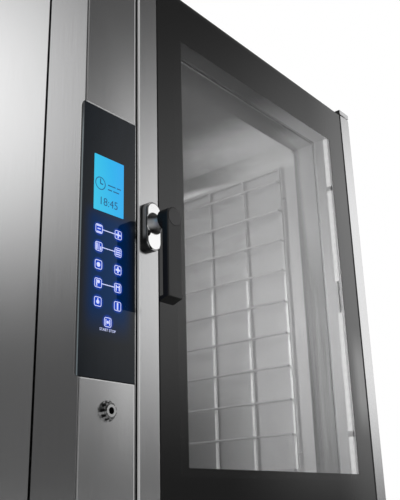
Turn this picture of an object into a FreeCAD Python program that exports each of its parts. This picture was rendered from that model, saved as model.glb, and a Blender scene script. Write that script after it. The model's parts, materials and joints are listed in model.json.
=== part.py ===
import FreeCAD
import Part
import math
import os

# Combi oven for ten 600 x 400 baking trays, with a control column on the left, a glass door hung on
# the right and a turning lever handle. Millimetres, +Z up. The pieces are laid out in cabinet
# coordinates: x from the left side, y backwards from the front face, z from the floor. On export
# everything is shifted, so that the origin is the middle of the footprint on the floor.

# Cabinet
cabinet_width = 920.0
cabinet_depth = 820.0
sheet = 1.5
panel_fold = 15.0
foot_height = 70.0
base_height = 43.0
base_sheet = 2.0
base_rim = 110.0
roof_height = 14.0
seam_gap = 6.0
rear_reach = 26.0

# Levelling feet
foot_inset = 60.0
foot_pad_radius = 25.0
foot_pad_height = 10.0
foot_body_radius = 19.0
foot_stem_radius = 8.0
foot_stem_length = 38.0
foot_boss_wall = 8.0

# Control column
column_width = 117.5
column_depth = 95.0
column_web_depth = 7.5
column_return = 20.0
corner_groove = 4.0
plate_gap = 1.0
plate_edge_radius = 1.8
control_above_window = 121.5
control_height = 444.0
control_glass_thickness = 4.0
control_corner_radius = 7.0
control_cutout_margin = 12.0
board_thickness = 1.6
board_standoff = 6.0
board_standoff_radius = 3.0
display_width = 66.0
display_height = 95.0
display_thickness = 5.0
display_above_control = 261.0

# Core-probe socket
socket_above_window = 75.7
socket_flange_radius = 15.5
socket_flange_thickness = 2.0
socket_grip_radius = 13.0
socket_grip_length = 4.5
socket_grip_grooves = 10
socket_groove_radius = 1.8
socket_barrel_radius = 9.0
socket_reach = 9.0
socket_bore_radius = 5.0
socket_bore_depth = 11.0
socket_thread_radius = 9.0
socket_thread_length = 14.0

# Door
door_side_gap = 6.0
door_clear_below = 17.0
hinge_gap = 5.0
left_stile_width = 49.5
right_stile_width = 44.5
stile_sheet = 1.5
stile_edge_radius = 2.5
left_stile_depth = 54.0
right_stile_depth = 52.0
outer_glass_thickness = 6.0
inner_glass_thickness = 5.0
glass_gap = 0.5
window_left_margin = 68.0
window_bottom_margin = 103.0
window_right_margin = 74.5
window_height = 800.0
window_top_margin = 98.0
frame_beyond_window = 14.0
rail_depth = 43.0
rail_sheet = 1.5
inner_glass_beyond_opening = 21.0
glass_clip_width = 14.0
glass_clip_length = 30.0
glass_clip_lip = 5.0
glass_clip_sheet = 1.5
glass_clip_count = 3
light_bar_depth_start = 11.0
light_bar_width = 10.5
light_bar_thickness = 3.0
light_bar_end_gap = 4.0
light_bar_middle_gap = 77.0

# Hinge
hinge_plate_thickness = 12.0
hinge_inset = 18.0
hinge_set_back = 20.0
hinge_pin_radius = 6.0
hinge_pin_engagement = 20.0
hinge_bush_radius = 10.0
hinge_bush_length = 24.0
hinge_boss_radius = 12.0
hinge_tab_thickness = 4.0
hinge_tab_height = 46.0
running_clearance = 0.08
fit_clearance = 0.3

# Handle
handle_above_window = 390.5
handle_base_drop = 4.5
handle_base_width = 35.0
handle_base_height = 87.0
handle_base_thickness = 13.0
handle_base_edge = 3.5
handle_neck_root_radius = 19.5
handle_neck_radius = 11.5
handle_neck_length = 22.0
handle_flare_out = 2.2
handle_flare_reach = 7.0
lever_width = 34.0
lever_depth = 12.0
lever_front = 58.5
lever_drop = 142.5
lever_edge_radius = 2.0
lever_toe_depth = 9.0
lever_toe_height = 9.0
lever_toe_round = 5.0
lever_toe_slant = 7.0
handle_cap_radius = 15.0
handle_cap_gap = 0.5
handle_cap_recess = 2.0
handle_cap_proud = 0.4
spindle_radius = 6.0
spindle_bore_depth = 18.0
latch_gap = 4.0
latch_thickness = 10.0
latch_hub_radius = 11.0
latch_nose_length = 23.0
latch_nose_width = 14.0

# Cavity
front_frame_set_back = 63.0
opening_beyond_window = 18.0
opening_beside_window = 28.0
throat_length = 55.5
liner_step = 10.0
tray_depth = 400.0
tray_clear = 20.0
tray_back_clear = 20.0
baffle_to_back = 120.0
seal_width = 14.0
seal_clearance = 0.3
seal_edge_radius = 3.0
insulation_thickness = 38.0
keeper_height = 80.0
keeper_plate_thickness = 3.0
keeper_clearance = 4.0
keeper_cup_wall = 2.0
support_post = 20.0
support_post_inset = 95.0
support_post_from_back = 55.0

# Tray racks
tray_levels = 10
tray_pitch = 80.0
rack_posts = 4
rack_post_inset = 24.0
rack_post_thickness = 6.0
rack_post_width = 6.0
rack_post_gap = 15.0
rack_rail_height = 6.0
rack_guide_radius = 3.0
rack_arm_radius = 2.5
rack_guide_reach = 15.0
rack_first_level = 45.0
rack_below_first = 14.0
rack_above_last = 39.0
rack_stud_radius = 4.0

# Fans and heating
fan_count = 2
fan_pitch = 410.0
fan_radius = 105.0
fan_wheel_depth = 62.0
fan_plate = 2.0
fan_ring_width = 16.0
fan_hub_radius = 16.0
fan_hub_length = 28.0
fan_blades = 12
fan_blade_inner = 66.0
fan_blade_lean = 32.0
fan_from_back = 30.0
fan_shaft_radius = 7.0
shaft_hole_clearance = 5.0
motor_plate_width = 200.0
motor_plate_thickness = 3.0
motor_standoff_length = 18.0
motor_standoff_radius = 6.0
motor_plate_margin = 110.0
motor_radius = 52.0
motor_rear_gap = 13.5
motor_flange_radius = 62.0
motor_flange_thickness = 5.0
motor_cap_radius = 44.0
motor_cap_length = 8.0
motor_bore_share = 0.4
heater_ring_radius = 132.0
heater_tube_radius = 4.2
heater_turns = 3
heater_turn_pitch = 18.0
heater_from_back = 38.0
heater_clamp_width = 12.0
heater_clamp_wall = 3.0
heater_flange_radius = 10.0
heater_flange_thickness = 3.0
heater_tail_angle = 60.0
heater_tail_length = 12.0
heater_tail_radius = 5.5
baffle_side_gap = 20.0
baffle_end_gap = 16.0
baffle_post_radius = 5.0
baffle_post_inset = 30.0
intake_radius = 80.0
intake_hole_radius = 6.5
intake_hole_pitch = 20.0

# Water, drain and vent
injector_offset = 118.0
injector_radius = 5.0
injector_manifold_radius = 6.0
injector_reach = 60.0
injector_stand_off = 11.0
valve_width = 40.0
valve_depth_share = 0.46
valve_height = 30.0
valve_below_liner = 16.0
valve_coil_share = 0.34
valve_coil_height = 34.0
inlet_radius = 13.2
inlet_flange_radius = 18.0
inlet_flange_thickness = 5.0
inlet_bore_radius = 8.0
inlet_bore_depth = 18.0
drain_radius = 20.0
drain_wall = 1.5
drain_socket_wall = 2.0
drain_socket_length = 25.0
drain_bend_clear = 3.0
drain_bead_radius = 24.0
drain_bead_width = 3.0
strainer_radius = 30.0
strainer_thickness = 3.0
strainer_holes = 8
strainer_hole_radius = 3.5
strainer_hole_ring = 11.5
vent_radius = 25.0
vent_wall = 1.5
vent_above_roof = 30.0
vent_collar_radius = 38.0
vent_collar_thickness = 2.0
vent_right_of_middle = 120.0
vent_from_back = 120.0
flap_thickness = 1.5
flap_shaft_radius = 3.0
flap_below_roof = 16.0
flap_engagement = 18.0
actuator_length = 48.0
actuator_width = 40.0
actuator_height = 28.0
actuator_gap = 9.0
actuator_strap = 4.0

# Electrical compartment
component_plate_from_left = 85.0
component_plate_front = 150.0
component_plate_back = 600.0
component_plate_top = 860.0
component_plate_foot = 30.0
contactor_count = 3
contactor_width = 45.0
contactor_height = 80.0
contactor_depth = 55.0
contactor_pitch = 60.0
contactor_front = 190.0
contactor_bottom = 640.0
contactor_cap = 8.0
power_board_width = 240.0
power_board_height = 220.0
power_board_bottom = 340.0
terminal_block_width = 90.0
terminal_block_height = 36.0
terminal_block_depth = 40.0
terminal_block_bottom = 200.0
gland_from_left = 110.0
gland_above_base = 70.0
gland_radius = 18.0
gland_bore_radius = 11.0
gland_thread_radius = 14.0
gland_thread_length = 14.0
cooling_fan_size = 92.0
cooling_fan_depth = 25.0
cooling_fan_bore = 42.0
cooling_fan_from_left = 64.0
cooling_fan_top_gap = 90.0
cooling_rotor_gap = 2.0
cooling_hub_radius = 15.0
cooling_hub_depth = 16.0
cooling_pin_radius = 2.5
cooling_blades = 7
cooling_blade_thickness = 2.0
cooling_blade_tilt = 40.0
cooling_strut = 6.0
cooling_strut_depth = 3.5
grille_hole_radius = 3.25
grille_hole_pitch = 10.0
grille_margin = 6.5
rear_screw_radius = 5.0
rear_screw_head = 2.5
rear_screw_shank = 2.0
rear_screws_per_side = 6
rear_screw_end_margin = 60.0
louvre_count = 9
louvre_length = 150.0
louvre_height = 6.0
louvre_pitch = 22.0

# Drip gutter under the door
gutter_height = 12.0
gutter_depth = 46.0
gutter_front = 3.0
gutter_side_gap = 6.0

# Derived heights
base_top = foot_height + base_height
door_bottom = base_top + door_clear_below
window_bottom = door_bottom + window_bottom_margin
window_top = window_bottom + window_height
door_top = window_top + window_top_margin
hinge_plate_bottom = door_top + hinge_gap
cabinet_top = hinge_plate_bottom + hinge_plate_thickness
panel_top = cabinet_top - roof_height
opening_bottom = window_bottom - opening_beyond_window
opening_top = window_top + opening_beyond_window
liner_bottom = opening_bottom - liner_step
liner_top = opening_top + liner_step
control_bottom = window_bottom + control_above_window
control_top = control_bottom + control_height
handle_z = window_bottom + handle_above_window

# Derived places across the front
door_left = column_width + door_side_gap
glass_left = door_left + left_stile_width
glass_right = cabinet_width - right_stile_width
window_left = glass_left + window_left_margin
window_right = glass_right - window_right_margin
middle_x = (window_left + window_right) / 2
middle_z = (window_bottom + window_top) / 2
opening_left = window_left - opening_beside_window
opening_right = window_right + opening_beside_window
liner_left = opening_left - liner_step
liner_right = opening_right + liner_step
handle_x = door_left + left_stile_width / 2
hinge_x = cabinet_width - hinge_inset

# Derived depths
front_frame_back = front_frame_set_back + sheet
liner_front = front_frame_back + throat_length
baffle_front = liner_front + tray_clear + tray_depth + tray_back_clear
liner_back = baffle_front + sheet + baffle_to_back
side_panel_front = column_depth + seam_gap
rear_panel_front = cabinet_depth - sheet
rail_back = outer_glass_thickness + rail_depth
inner_glass_back = rail_back + inner_glass_thickness
seal_front = inner_glass_back + seal_clearance
lever_back = lever_front - lever_depth
neck_end = handle_base_thickness + handle_neck_length
latch_front = front_frame_set_back + keeper_plate_thickness + latch_gap
latch_back = latch_front + latch_thickness
motor_plate_front = liner_back + sheet + motor_standoff_length
motor_front = motor_plate_front + motor_plate_thickness
fan_back = liner_back - fan_from_back
fan_front = fan_back - fan_wheel_depth
motor_length = rear_panel_front - motor_rear_gap - motor_cap_length - motor_flange_thickness - motor_front
motor_bore_depth = motor_flange_thickness + motor_bore_share * motor_length
shaft_end = motor_front + motor_bore_depth - 2 * fit_clearance
fan_heights = [middle_z + fan_pitch * (i - (fan_count - 1) / 2) for i in range(fan_count)]
foot_places = [
    (foot_inset, foot_inset),
    (cabinet_width - foot_inset, foot_inset),
    (foot_inset, cabinet_depth - foot_inset),
    (cabinet_width - foot_inset, cabinet_depth - foot_inset),
]
drain_y = liner_front + tray_clear + tray_depth / 2
drain_bend = drain_radius + drain_bend_clear
drain_z = liner_bottom - sheet - insulation_thickness - drain_bend
vent_x = middle_x + vent_right_of_middle
vent_y = liner_back - vent_from_back
flap_z = panel_top - flap_below_roof
injector_x = middle_x + injector_offset
valve_top = liner_bottom - valve_below_liner
injector_y = liner_back + sheet + injector_stand_off
valve_front = injector_y - injector_manifold_radius
valve_back = valve_front + valve_depth_share * (rear_panel_front - valve_front)
valve_coil_back = valve_back - sheet
valve_coil_radius = valve_coil_share * (valve_coil_back - injector_y - injector_manifold_radius)
gland_z = base_top + gland_above_base
cooling_x = cooling_fan_from_left + cooling_fan_size / 2
cooling_z = panel_top - cooling_fan_top_gap - cooling_fan_size / 2

# Shift from cabinet coordinates to the part's own frame
front_reach = lever_front + handle_cap_proud
origin_y = (cabinet_depth + rear_reach - front_reach) / 2
to_part_frame = FreeCAD.Vector(-cabinet_width / 2, -origin_y, 0)

X_AXIS = FreeCAD.Vector(1, 0, 0)
Y_AXIS = FreeCAD.Vector(0, 1, 0)
Z_AXIS = FreeCAD.Vector(0, 0, 1)


def point(x, y, z):
    return FreeCAD.Vector(x, y, z)


def block(x0, x1, y0, y1, z0, z1):
    return Part.makeBox(x1 - x0, y1 - y0, z1 - z0, point(x0, y0, z0))


def rod_x(x0, x1, y, z, radius):
    return Part.makeCylinder(radius, x1 - x0, point(x0, y, z), X_AXIS)


def rod_y(x, y0, y1, z, radius):
    return Part.makeCylinder(radius, y1 - y0, point(x, y0, z), Y_AXIS)


def rod_z(x, y, z0, z1, radius):
    return Part.makeCylinder(radius, z1 - z0, point(x, y, z0), Z_AXIS)


def joined(pieces):
    return pieces[0].multiFuse(pieces[1:]).removeSplitter()


def group(solids):
    return Part.makeCompound(solids)


def runs_along(edge, direction):
    """True for a straight edge that is parallel to an axis."""
    span = edge.Vertexes[-1].Point - edge.Vertexes[0].Point
    return isinstance(edge.Curve, Part.Line) and span.cross(direction).Length < fit_clearance


def rounded_edges(shape, direction, radius):
    """Round the straight edges that run along one axis."""
    return shape.makeFillet(radius, [edge for edge in shape.Edges if runs_along(edge, direction)])


def tray(x0, x1, y0, y1, z0, z1, wall, open_to):
    """A box folded from sheet, open on the side that open_to names."""
    spans = {"x": [x0 + wall, x1 - wall], "y": [y0 + wall, y1 - wall], "z": [z0 + wall, z1 - wall]}
    past = {"-": (0, -2 * wall), "+": (1, 2 * wall)}
    index, step = past[open_to[0]]
    spans[open_to[1]][index] += step
    inside = block(*spans["x"], *spans["y"], *spans["z"])
    return block(x0, x1, y0, y1, z0, z1).cut(inside)


def base_frame():
    pan = block(0, cabinet_width, 0, cabinet_depth, foot_height, base_top)
    inside = block(
        base_sheet, cabinet_width - base_sheet, base_sheet, cabinet_depth - base_sheet,
        foot_height + base_sheet, base_top - base_sheet,
    )
    top_opening = block(
        base_rim, cabinet_width - base_rim, base_rim, cabinet_depth - base_rim,
        base_top - 2 * base_sheet, base_top + base_sheet,
    )
    bosses = []
    holes = []
    boss_radius = foot_stem_radius + foot_boss_wall
    for x, y in foot_places:
        bosses.append(rod_z(x, y, foot_height + base_sheet, base_top - base_sheet, boss_radius))
        hole_radius = foot_stem_radius + running_clearance
        holes.append(rod_z(x, y, foot_height - base_sheet, base_top - base_sheet, hole_radius))
    pan = joined([pan.cut(inside).cut(top_opening)] + bosses).cut(group(holes))
    posts = [block(*span) for span in support_posts(foot_height + base_sheet)]
    return group([pan] + posts)


def support_posts(bottom):
    """The two posts that carry the back of the cavity liner."""
    back = liner_back - support_post_from_back
    spans = []
    for left in (liner_left + support_post_inset, liner_right - support_post_inset - support_post):
        spans.append((left, left + support_post, back - support_post, back, bottom, liner_bottom - sheet))
    return spans


def foot(place):
    x, y = place
    pad = rod_z(x, y, 0, foot_pad_height, foot_pad_radius)
    body = rod_z(x, y, foot_pad_height, foot_height, foot_body_radius)
    stem = rod_z(x, y, foot_height, foot_height + foot_stem_length, foot_stem_radius)
    return joined([pad, body, stem])


def left_side_panel():
    return tray(
        0, panel_fold, side_panel_front, rear_panel_front, base_top, panel_top, sheet, "+x"
    )


def right_side_panel():
    return tray(
        cabinet_width - panel_fold, cabinet_width, front_frame_back, rear_panel_front,
        base_top, panel_top, sheet, "-x",
    )


def top_panel():
    """Roof sheets with their folded rims; the smaller sheet reaches forward over the control column."""
    front, back = front_frame_set_back, cabinet_depth
    bottom = cabinet_top - sheet
    vent_hole = rod_z(vent_x, vent_y, bottom, cabinet_top, vent_radius + fit_clearance)
    sheets = [
        block(0, cabinet_width, front, back, bottom, cabinet_top).cut(vent_hole),
        block(0, column_width, 0, front, bottom, cabinet_top),
    ]
    rims = [
        block(0, sheet, 0, back, panel_top, bottom),
        block(cabinet_width - sheet, cabinet_width, front, back, panel_top, bottom),
        block(sheet, cabinet_width - sheet, back - sheet, back, panel_top, bottom),
        block(column_width, cabinet_width - sheet, front, front_frame_back, panel_top, bottom),
        block(column_width - sheet, column_width, sheet, front_frame_back, panel_top, bottom),
        block(sheet, column_width, 0, sheet, panel_top, bottom),
    ]
    return group(sheets + rims)


def rear_panel():
    panel = block(0, cabinet_width, rear_panel_front, cabinet_depth, base_top, panel_top)
    front, back = rear_panel_front - sheet, cabinet_depth + sheet
    holes = [
        rod_y(middle_x, front, back, drain_z, drain_radius + fit_clearance),
        rod_y(injector_x, front, back, valve_top - valve_height / 2, inlet_radius + fit_clearance),
        rod_y(gland_from_left, front, back, gland_z, gland_thread_radius),
    ]
    for x, z in cooling_grille():
        holes.append(rod_y(x, front, back, z, grille_hole_radius))
    for x, z in rear_screw_places():
        holes.append(rod_y(x, front, back, z, rear_screw_shank))
    for height in fan_heights:
        for row in range(louvre_count):
            bottom = height + (row - (louvre_count - 1) / 2) * louvre_pitch - louvre_height / 2
            left = middle_x - louvre_length / 2
            slot = block(left, left + louvre_length, front, back, bottom, bottom + louvre_height)
            holes.append(slot)
    return panel.cut(group(holes))


def hexagonal_places(x, z, reach, pitch):
    """Hole centres on a staggered grid within a circle."""
    places = []
    rows = int(reach / (pitch * math.sqrt(3) / 2))
    for row in range(-rows, rows + 1):
        height = row * pitch * math.sqrt(3) / 2
        shift = pitch / 2 if row % 2 else 0.0
        columns = int(reach / pitch) + 1
        for column in range(-columns, columns + 1):
            across = column * pitch + shift
            if math.hypot(across, height) <= reach:
                places.append((x + across, z + height))
    return places


def cooling_grille():
    reach = cooling_fan_bore - grille_margin
    return hexagonal_places(cooling_x, cooling_z, reach, grille_hole_pitch)


def rear_screw_places():
    run = panel_top - base_top - 2 * rear_screw_end_margin
    places = []
    for x in (panel_fold / 2, cabinet_width - panel_fold / 2):
        for i in range(rear_screws_per_side):
            step = run * i / (rear_screws_per_side - 1)
            places.append((x, base_top + rear_screw_end_margin + step))
    return places


def rear_panel_screws():
    screws = []
    for x, z in rear_screw_places():
        head = rod_y(x, cabinet_depth, cabinet_depth + rear_screw_head, z, rear_screw_radius)
        shank = rod_y(x, rear_panel_front, cabinet_depth, z, rear_screw_shank)
        screws.append(joined([head, shank]))
    return group(screws)


def column_frame():
    """Folded channel with a recessed web that carries the column's front plates."""
    side = block(0, sheet, 0, column_depth, base_top, panel_top)
    right = block(column_width - sheet, column_width, 0, front_frame_back, base_top, panel_top)
    web = block(sheet, column_width - sheet, column_web_depth, column_web_depth + sheet, base_top, panel_top)
    back = block(sheet, column_return, column_depth - sheet, column_depth, base_top, panel_top)
    notch = block(
        -sheet, sheet, -column_web_depth - control_corner_radius, column_web_depth,
        control_bottom - plate_gap, control_top + plate_gap,
    )
    notch = rounded_edges(notch, X_AXIS, control_corner_radius)
    cutout = block(
        control_cutout_margin, column_width - control_cutout_margin, 0, column_depth - 2 * sheet,
        control_bottom + control_cutout_margin, control_top - control_cutout_margin,
    )
    socket_hole = rod_y(
        column_width / 2, 0, column_depth, window_bottom + socket_above_window,
        socket_thread_radius + fit_clearance,
    )
    frame = joined([side, right, web, back])
    return frame.cut(group([notch, socket_hole])).cut(cutout)


def column_plate(bottom, top):
    """A steel front plate with folded edges, rounded along the front."""
    x0 = corner_groove
    x1 = column_width - sheet
    plate = block(x0, x1, 0, column_web_depth, bottom, top)
    front = [edge for edge in plate.Edges if edge.BoundBox.YMax < plate_edge_radius]
    inside = block(
        x0 + sheet, x1 - sheet, sheet, column_web_depth + sheet, bottom + sheet, top - sheet
    )
    return plate.makeFillet(plate_edge_radius, front).cut(inside)


def column_upper_plate():
    return column_plate(control_top + plate_gap, panel_top)


def column_lower_plate():
    plate = column_plate(base_top, control_bottom - plate_gap)
    hole = rod_y(
        column_width / 2, 0, sheet, window_bottom + socket_above_window, socket_thread_radius
    )
    return plate.cut(hole)


def control_slab(y0, y1):
    """A layer of the control panel: it reaches the column's left side, with rounded ends there."""
    depth = column_web_depth
    slab = block(0, column_width - sheet, -depth, depth, control_bottom, control_top)
    side = [
        edge
        for edge in slab.Edges
        if runs_along(edge, X_AXIS) and edge.BoundBox.YMin > 0
    ]
    return slab.makeFillet(control_corner_radius - plate_gap, side).common(
        block(0, column_width, y0, y1, control_bottom, control_top)
    )


def control_glass():
    return control_slab(0, control_glass_thickness)


def control_carrier():
    return control_slab(control_glass_thickness, column_web_depth)


def board_posts():
    margin = 2 * control_cutout_margin
    xs = (margin, column_width - margin)
    zs = (control_bottom + margin, (control_bottom + control_top) / 2, control_top - margin)
    return [(x, z) for x in xs for z in zs]


def control_board():
    """Printed board on stand-offs behind the control panel, with the display module on it."""
    front = column_web_depth + board_standoff
    margin = control_cutout_margin + sheet
    board = block(
        margin, column_width - margin, front, front + board_thickness,
        control_bottom + margin, control_top - margin,
    )
    posts = [
        rod_y(x, column_web_depth, front, z, board_standoff_radius) for x, z in board_posts()
    ]
    left = (column_width - display_width) / 2
    bottom = control_bottom + display_above_control
    display = block(
        left, left + display_width, front - display_thickness, front, bottom, bottom + display_height
    )
    return group([joined([board] + posts), display])


def hexagonal_prism(x, y0, y1, z, across):
    radius = across / math.sqrt(3)
    corners = []
    for i in range(7):
        angle = math.radians(60 * i + 30)
        corners.append(point(x + radius * math.cos(angle), y0, z + radius * math.sin(angle)))
    return Part.Face(Part.makePolygon(corners)).extrude(point(0, y1 - y0, 0))


def probe_socket():
    x, z = column_width / 2, window_bottom + socket_above_window
    flange = rod_y(x, -socket_flange_thickness, 0, z, socket_flange_radius)
    grip_end = socket_flange_thickness + socket_grip_length
    grip = rod_y(x, -grip_end, -socket_flange_thickness, z, socket_grip_radius)
    grooves = []
    for i in range(socket_grip_grooves):
        angle = 2 * math.pi * i / socket_grip_grooves
        groove_x = x + socket_grip_radius * math.cos(angle)
        groove_z = z + socket_grip_radius * math.sin(angle)
        grooves.append(rod_y(groove_x, -grip_end, -socket_flange_thickness, groove_z, socket_groove_radius))
    barrel = rod_y(x, -socket_reach, -grip_end, z, socket_barrel_radius)
    thread = rod_y(x, 0, socket_thread_length, z, socket_thread_radius)
    bore = rod_y(x, -socket_reach, -socket_reach + socket_bore_depth, z, socket_bore_radius)
    return joined([flange, grip.cut(group(grooves)), barrel, thread]).cut(bore)


def cavity_front_frame():
    """The steel face round the oven's mouth, with the throat that leads into the cavity."""
    y0, y1 = front_frame_set_back, front_frame_back
    keeper_bottom = handle_z - keeper_height / 2
    keeper_top = handle_z + keeper_height / 2
    faces = [
        block(column_width, opening_left, y0, y1, base_top, keeper_bottom),
        block(column_width, opening_left, y0, y1, keeper_top, panel_top),
        block(opening_right, cabinet_width, y0, y1, base_top, panel_top),
        block(opening_left, opening_right, y0, y1, opening_top, panel_top),
        block(opening_left, opening_right, y0, y1, base_top, opening_bottom),
    ]
    left, right = opening_left - sheet, opening_right + sheet
    throat = [
        block(left, opening_left, y1, liner_front, opening_bottom, opening_top),
        block(opening_right, right, y1, liner_front, opening_bottom, opening_top),
        block(left, right, y1, liner_front, opening_top, opening_top + sheet),
        block(left, right, y1, liner_front, opening_bottom - sheet, opening_bottom),
    ]
    return group(faces + throat)


def cavity_ceiling():
    top = liner_top + sheet
    ceiling = block(liner_left, liner_right, liner_front, liner_back, liner_top, top)
    return ceiling.cut(rod_z(vent_x, vent_y, liner_top, top, vent_radius - vent_wall))


def cavity_liner():
    """Welded box of walls, floor and a front ring, with the studs that the tray racks hang on."""
    left, right = liner_left - sheet, liner_right + sheet
    bottom, top = liner_bottom - sheet, liner_top + sheet
    back = liner_back + sheet
    ring_front = liner_front - sheet
    floor = block(liner_left, liner_right, liner_front, liner_back, bottom, liner_bottom)
    rear = block(left, right, liner_back, back, bottom, top)
    rear_holes = []
    for height in fan_heights:
        hole_radius = fan_shaft_radius + shaft_hole_clearance
        rear_holes.append(rod_y(middle_x, liner_back, back, height, hole_radius))
        rear_holes.append(rod_y(injector_x, liner_back, back, height, injector_radius))
        for x, z in heater_tail_places(height):
            rear_holes.append(rod_y(x, liner_back, back, z, heater_tail_radius))
    throat_left, throat_right = opening_left - sheet, opening_right + sheet
    throat_bottom, throat_top = opening_bottom - sheet, opening_top + sheet
    walls = [
        block(left, liner_left, liner_front, liner_back, bottom, top),
        block(liner_right, right, liner_front, liner_back, bottom, top),
        floor.cut(rod_z(middle_x, drain_y, bottom, liner_bottom, drain_radius - drain_wall)),
        rear.cut(group(rear_holes)),
        block(left, throat_left, ring_front, liner_front, bottom, top),
        block(throat_right, right, ring_front, liner_front, bottom, top),
        block(throat_left, throat_right, ring_front, liner_front, throat_top, top),
        block(throat_left, throat_right, ring_front, liner_front, bottom, throat_bottom),
    ]
    studs = []
    posts = rack_post_places()
    for y in (posts[0], posts[-1]):
        for z in rack_stud_heights():
            studs.append(rod_x(liner_left, liner_left + rack_post_gap, y, z, rack_stud_radius))
            studs.append(rod_x(liner_right - rack_post_gap, liner_right, y, z, rack_stud_radius))
    return group(walls + studs)


def rack_post_places():
    """Depths of the middles of the posts, from the front one to the back one."""
    front = liner_front + tray_clear + rack_post_inset
    step = (tray_depth - 2 * rack_post_inset) / (rack_posts - 1)
    return [front + step * i for i in range(rack_posts)]


def rack_levels():
    return [liner_bottom + rack_first_level + tray_pitch * i for i in range(tray_levels)]


def rack_stud_heights():
    levels = rack_levels()
    return ((levels[0] + levels[1]) / 2, (levels[-2] + levels[-1]) / 2)


def tray_rack(wall_x, inward):
    """Square posts between two rails, with a rod on arms at each level; inward is +1 left, -1 right."""
    post_out = wall_x + inward * rack_post_gap
    post_in = post_out + inward * rack_post_thickness
    guide_x = post_in + inward * rack_guide_reach
    levels = rack_levels()
    bottom, top = levels[0] - rack_below_first, levels[-1] + rack_above_last
    half = rack_post_width / 2
    low, high = min(post_out, post_in), max(post_out, post_in)
    places = rack_post_places()
    front, back = places[0] - half, places[-1] + half
    pieces = [block(low, high, y - half, y + half, bottom, top) for y in places]
    pieces.append(block(low, high, front, back, top, top + rack_rail_height))
    pieces.append(block(low, high, front, back, bottom - rack_rail_height, bottom))
    near, far = min(guide_x, post_in), max(guide_x, post_in)
    for z in levels:
        arms = [rod_x(near, far, y, z, rack_arm_radius) for y in places]
        run = rod_y(guide_x, front, back, z, rack_guide_radius)
        pieces.append(joined([run] + arms))
    return group(pieces)


def left_tray_rack():
    return tray_rack(liner_left, 1)


def right_tray_rack():
    return tray_rack(liner_right, -1)


def door_seal():
    """Four lengths of seal round the oven's mouth, rounded towards the door."""
    y0, y1 = seal_front, front_frame_set_back
    left, right = opening_left - seal_width, opening_right + seal_width
    bottom, top = opening_bottom - seal_width, opening_top + seal_width
    upright = [
        block(left, opening_left, y0, y1, bottom, top),
        block(opening_right, right, y0, y1, bottom, top),
    ]
    level = [
        block(opening_left, opening_right, y0, y1, opening_top, top),
        block(opening_left, opening_right, y0, y1, bottom, opening_bottom),
    ]
    lengths = []
    for piece, direction in [(p, Z_AXIS) for p in upright] + [(p, X_AXIS) for p in level]:
        edges = [
            edge
            for edge in piece.Edges
            if runs_along(edge, direction) and edge.BoundBox.YMax < (y0 + y1) / 2
        ]
        lengths.append(piece.makeFillet(seal_edge_radius, edges))
    return group(lengths)


def insulation():
    left, right = liner_left - sheet, liner_right + sheet
    bottom, top = liner_bottom - sheet, liner_top + sheet
    y0, y1 = liner_front, liner_back
    thick = insulation_thickness
    roof = block(left, right, y0, y1, top, top + thick)
    floor = block(left, right, y0, y1, bottom - thick, bottom)
    vent_hole = rod_z(vent_x, vent_y, top, top + thick, vent_radius + fit_clearance)
    drain_hole = rod_z(middle_x, drain_y, bottom - thick, bottom, drain_radius + fit_clearance)
    posts = [block(*span) for span in support_posts(bottom - thick)]
    return group([
        block(left - thick, left, y0, y1, bottom, top),
        block(right, right + thick, y0, y1, bottom, top),
        roof.cut(vent_hole),
        floor.cut(group([drain_hole] + posts)),
    ])


def fan_baffle():
    """Plate in front of the fans with a perforated intake for each, on four posts."""
    left, right = liner_left + baffle_side_gap, liner_right - baffle_side_gap
    bottom, top = liner_bottom + baffle_end_gap, liner_top - baffle_end_gap
    plate = block(left, right, baffle_front, baffle_front + sheet, bottom, top)
    holes = []
    for height in fan_heights:
        for x, z in hexagonal_places(middle_x, height, intake_radius, intake_hole_pitch):
            holes.append(rod_y(x, baffle_front, baffle_front + sheet, z, intake_hole_radius))
    inset = baffle_post_inset
    posts = []
    for x in (left + inset, right - inset):
        for z in (bottom + inset, top - inset):
            posts.append(rod_y(x, baffle_front + sheet, liner_back, z, baffle_post_radius))
    return joined([plate.cut(group(holes))] + posts)


def fan_wheel(height):
    """Radial wheel: back plate, leaning blades, front ring and hub on its shaft."""
    y0, y1 = fan_front, fan_back
    plate = rod_y(middle_x, y1 - fan_plate, y1, height, fan_radius)
    ring = rod_y(middle_x, y0, y0 + fan_plate, height, fan_radius)
    ring = ring.cut(rod_y(middle_x, y0, y0 + fan_plate, height, fan_radius - fan_ring_width))
    hub = rod_y(middle_x, y1 - fan_hub_length, y1, height, fan_hub_radius)
    blades = []
    length = fan_radius - fan_blade_inner
    for i in range(fan_blades):
        blade = block(0, length, y0 + fan_plate, y1 - fan_plate, -fan_plate / 2, fan_plate / 2)
        blade.rotate(point(0, 0, 0), Y_AXIS, fan_blade_lean)
        blade.translate(point(fan_blade_inner, 0, 0))
        blade.rotate(point(0, 0, 0), Y_AXIS, 360.0 * i / fan_blades)
        blade.translate(point(middle_x, 0, height))
        blades.append(blade)
    bore = rod_y(middle_x, y1 - fan_hub_length, y1, height, fan_shaft_radius)
    wheel = joined([plate, ring, hub] + blades).cut(bore)
    shaft = rod_y(middle_x, y1 - fan_hub_length, shaft_end, height, fan_shaft_radius)
    return group([wheel, shaft])


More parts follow.
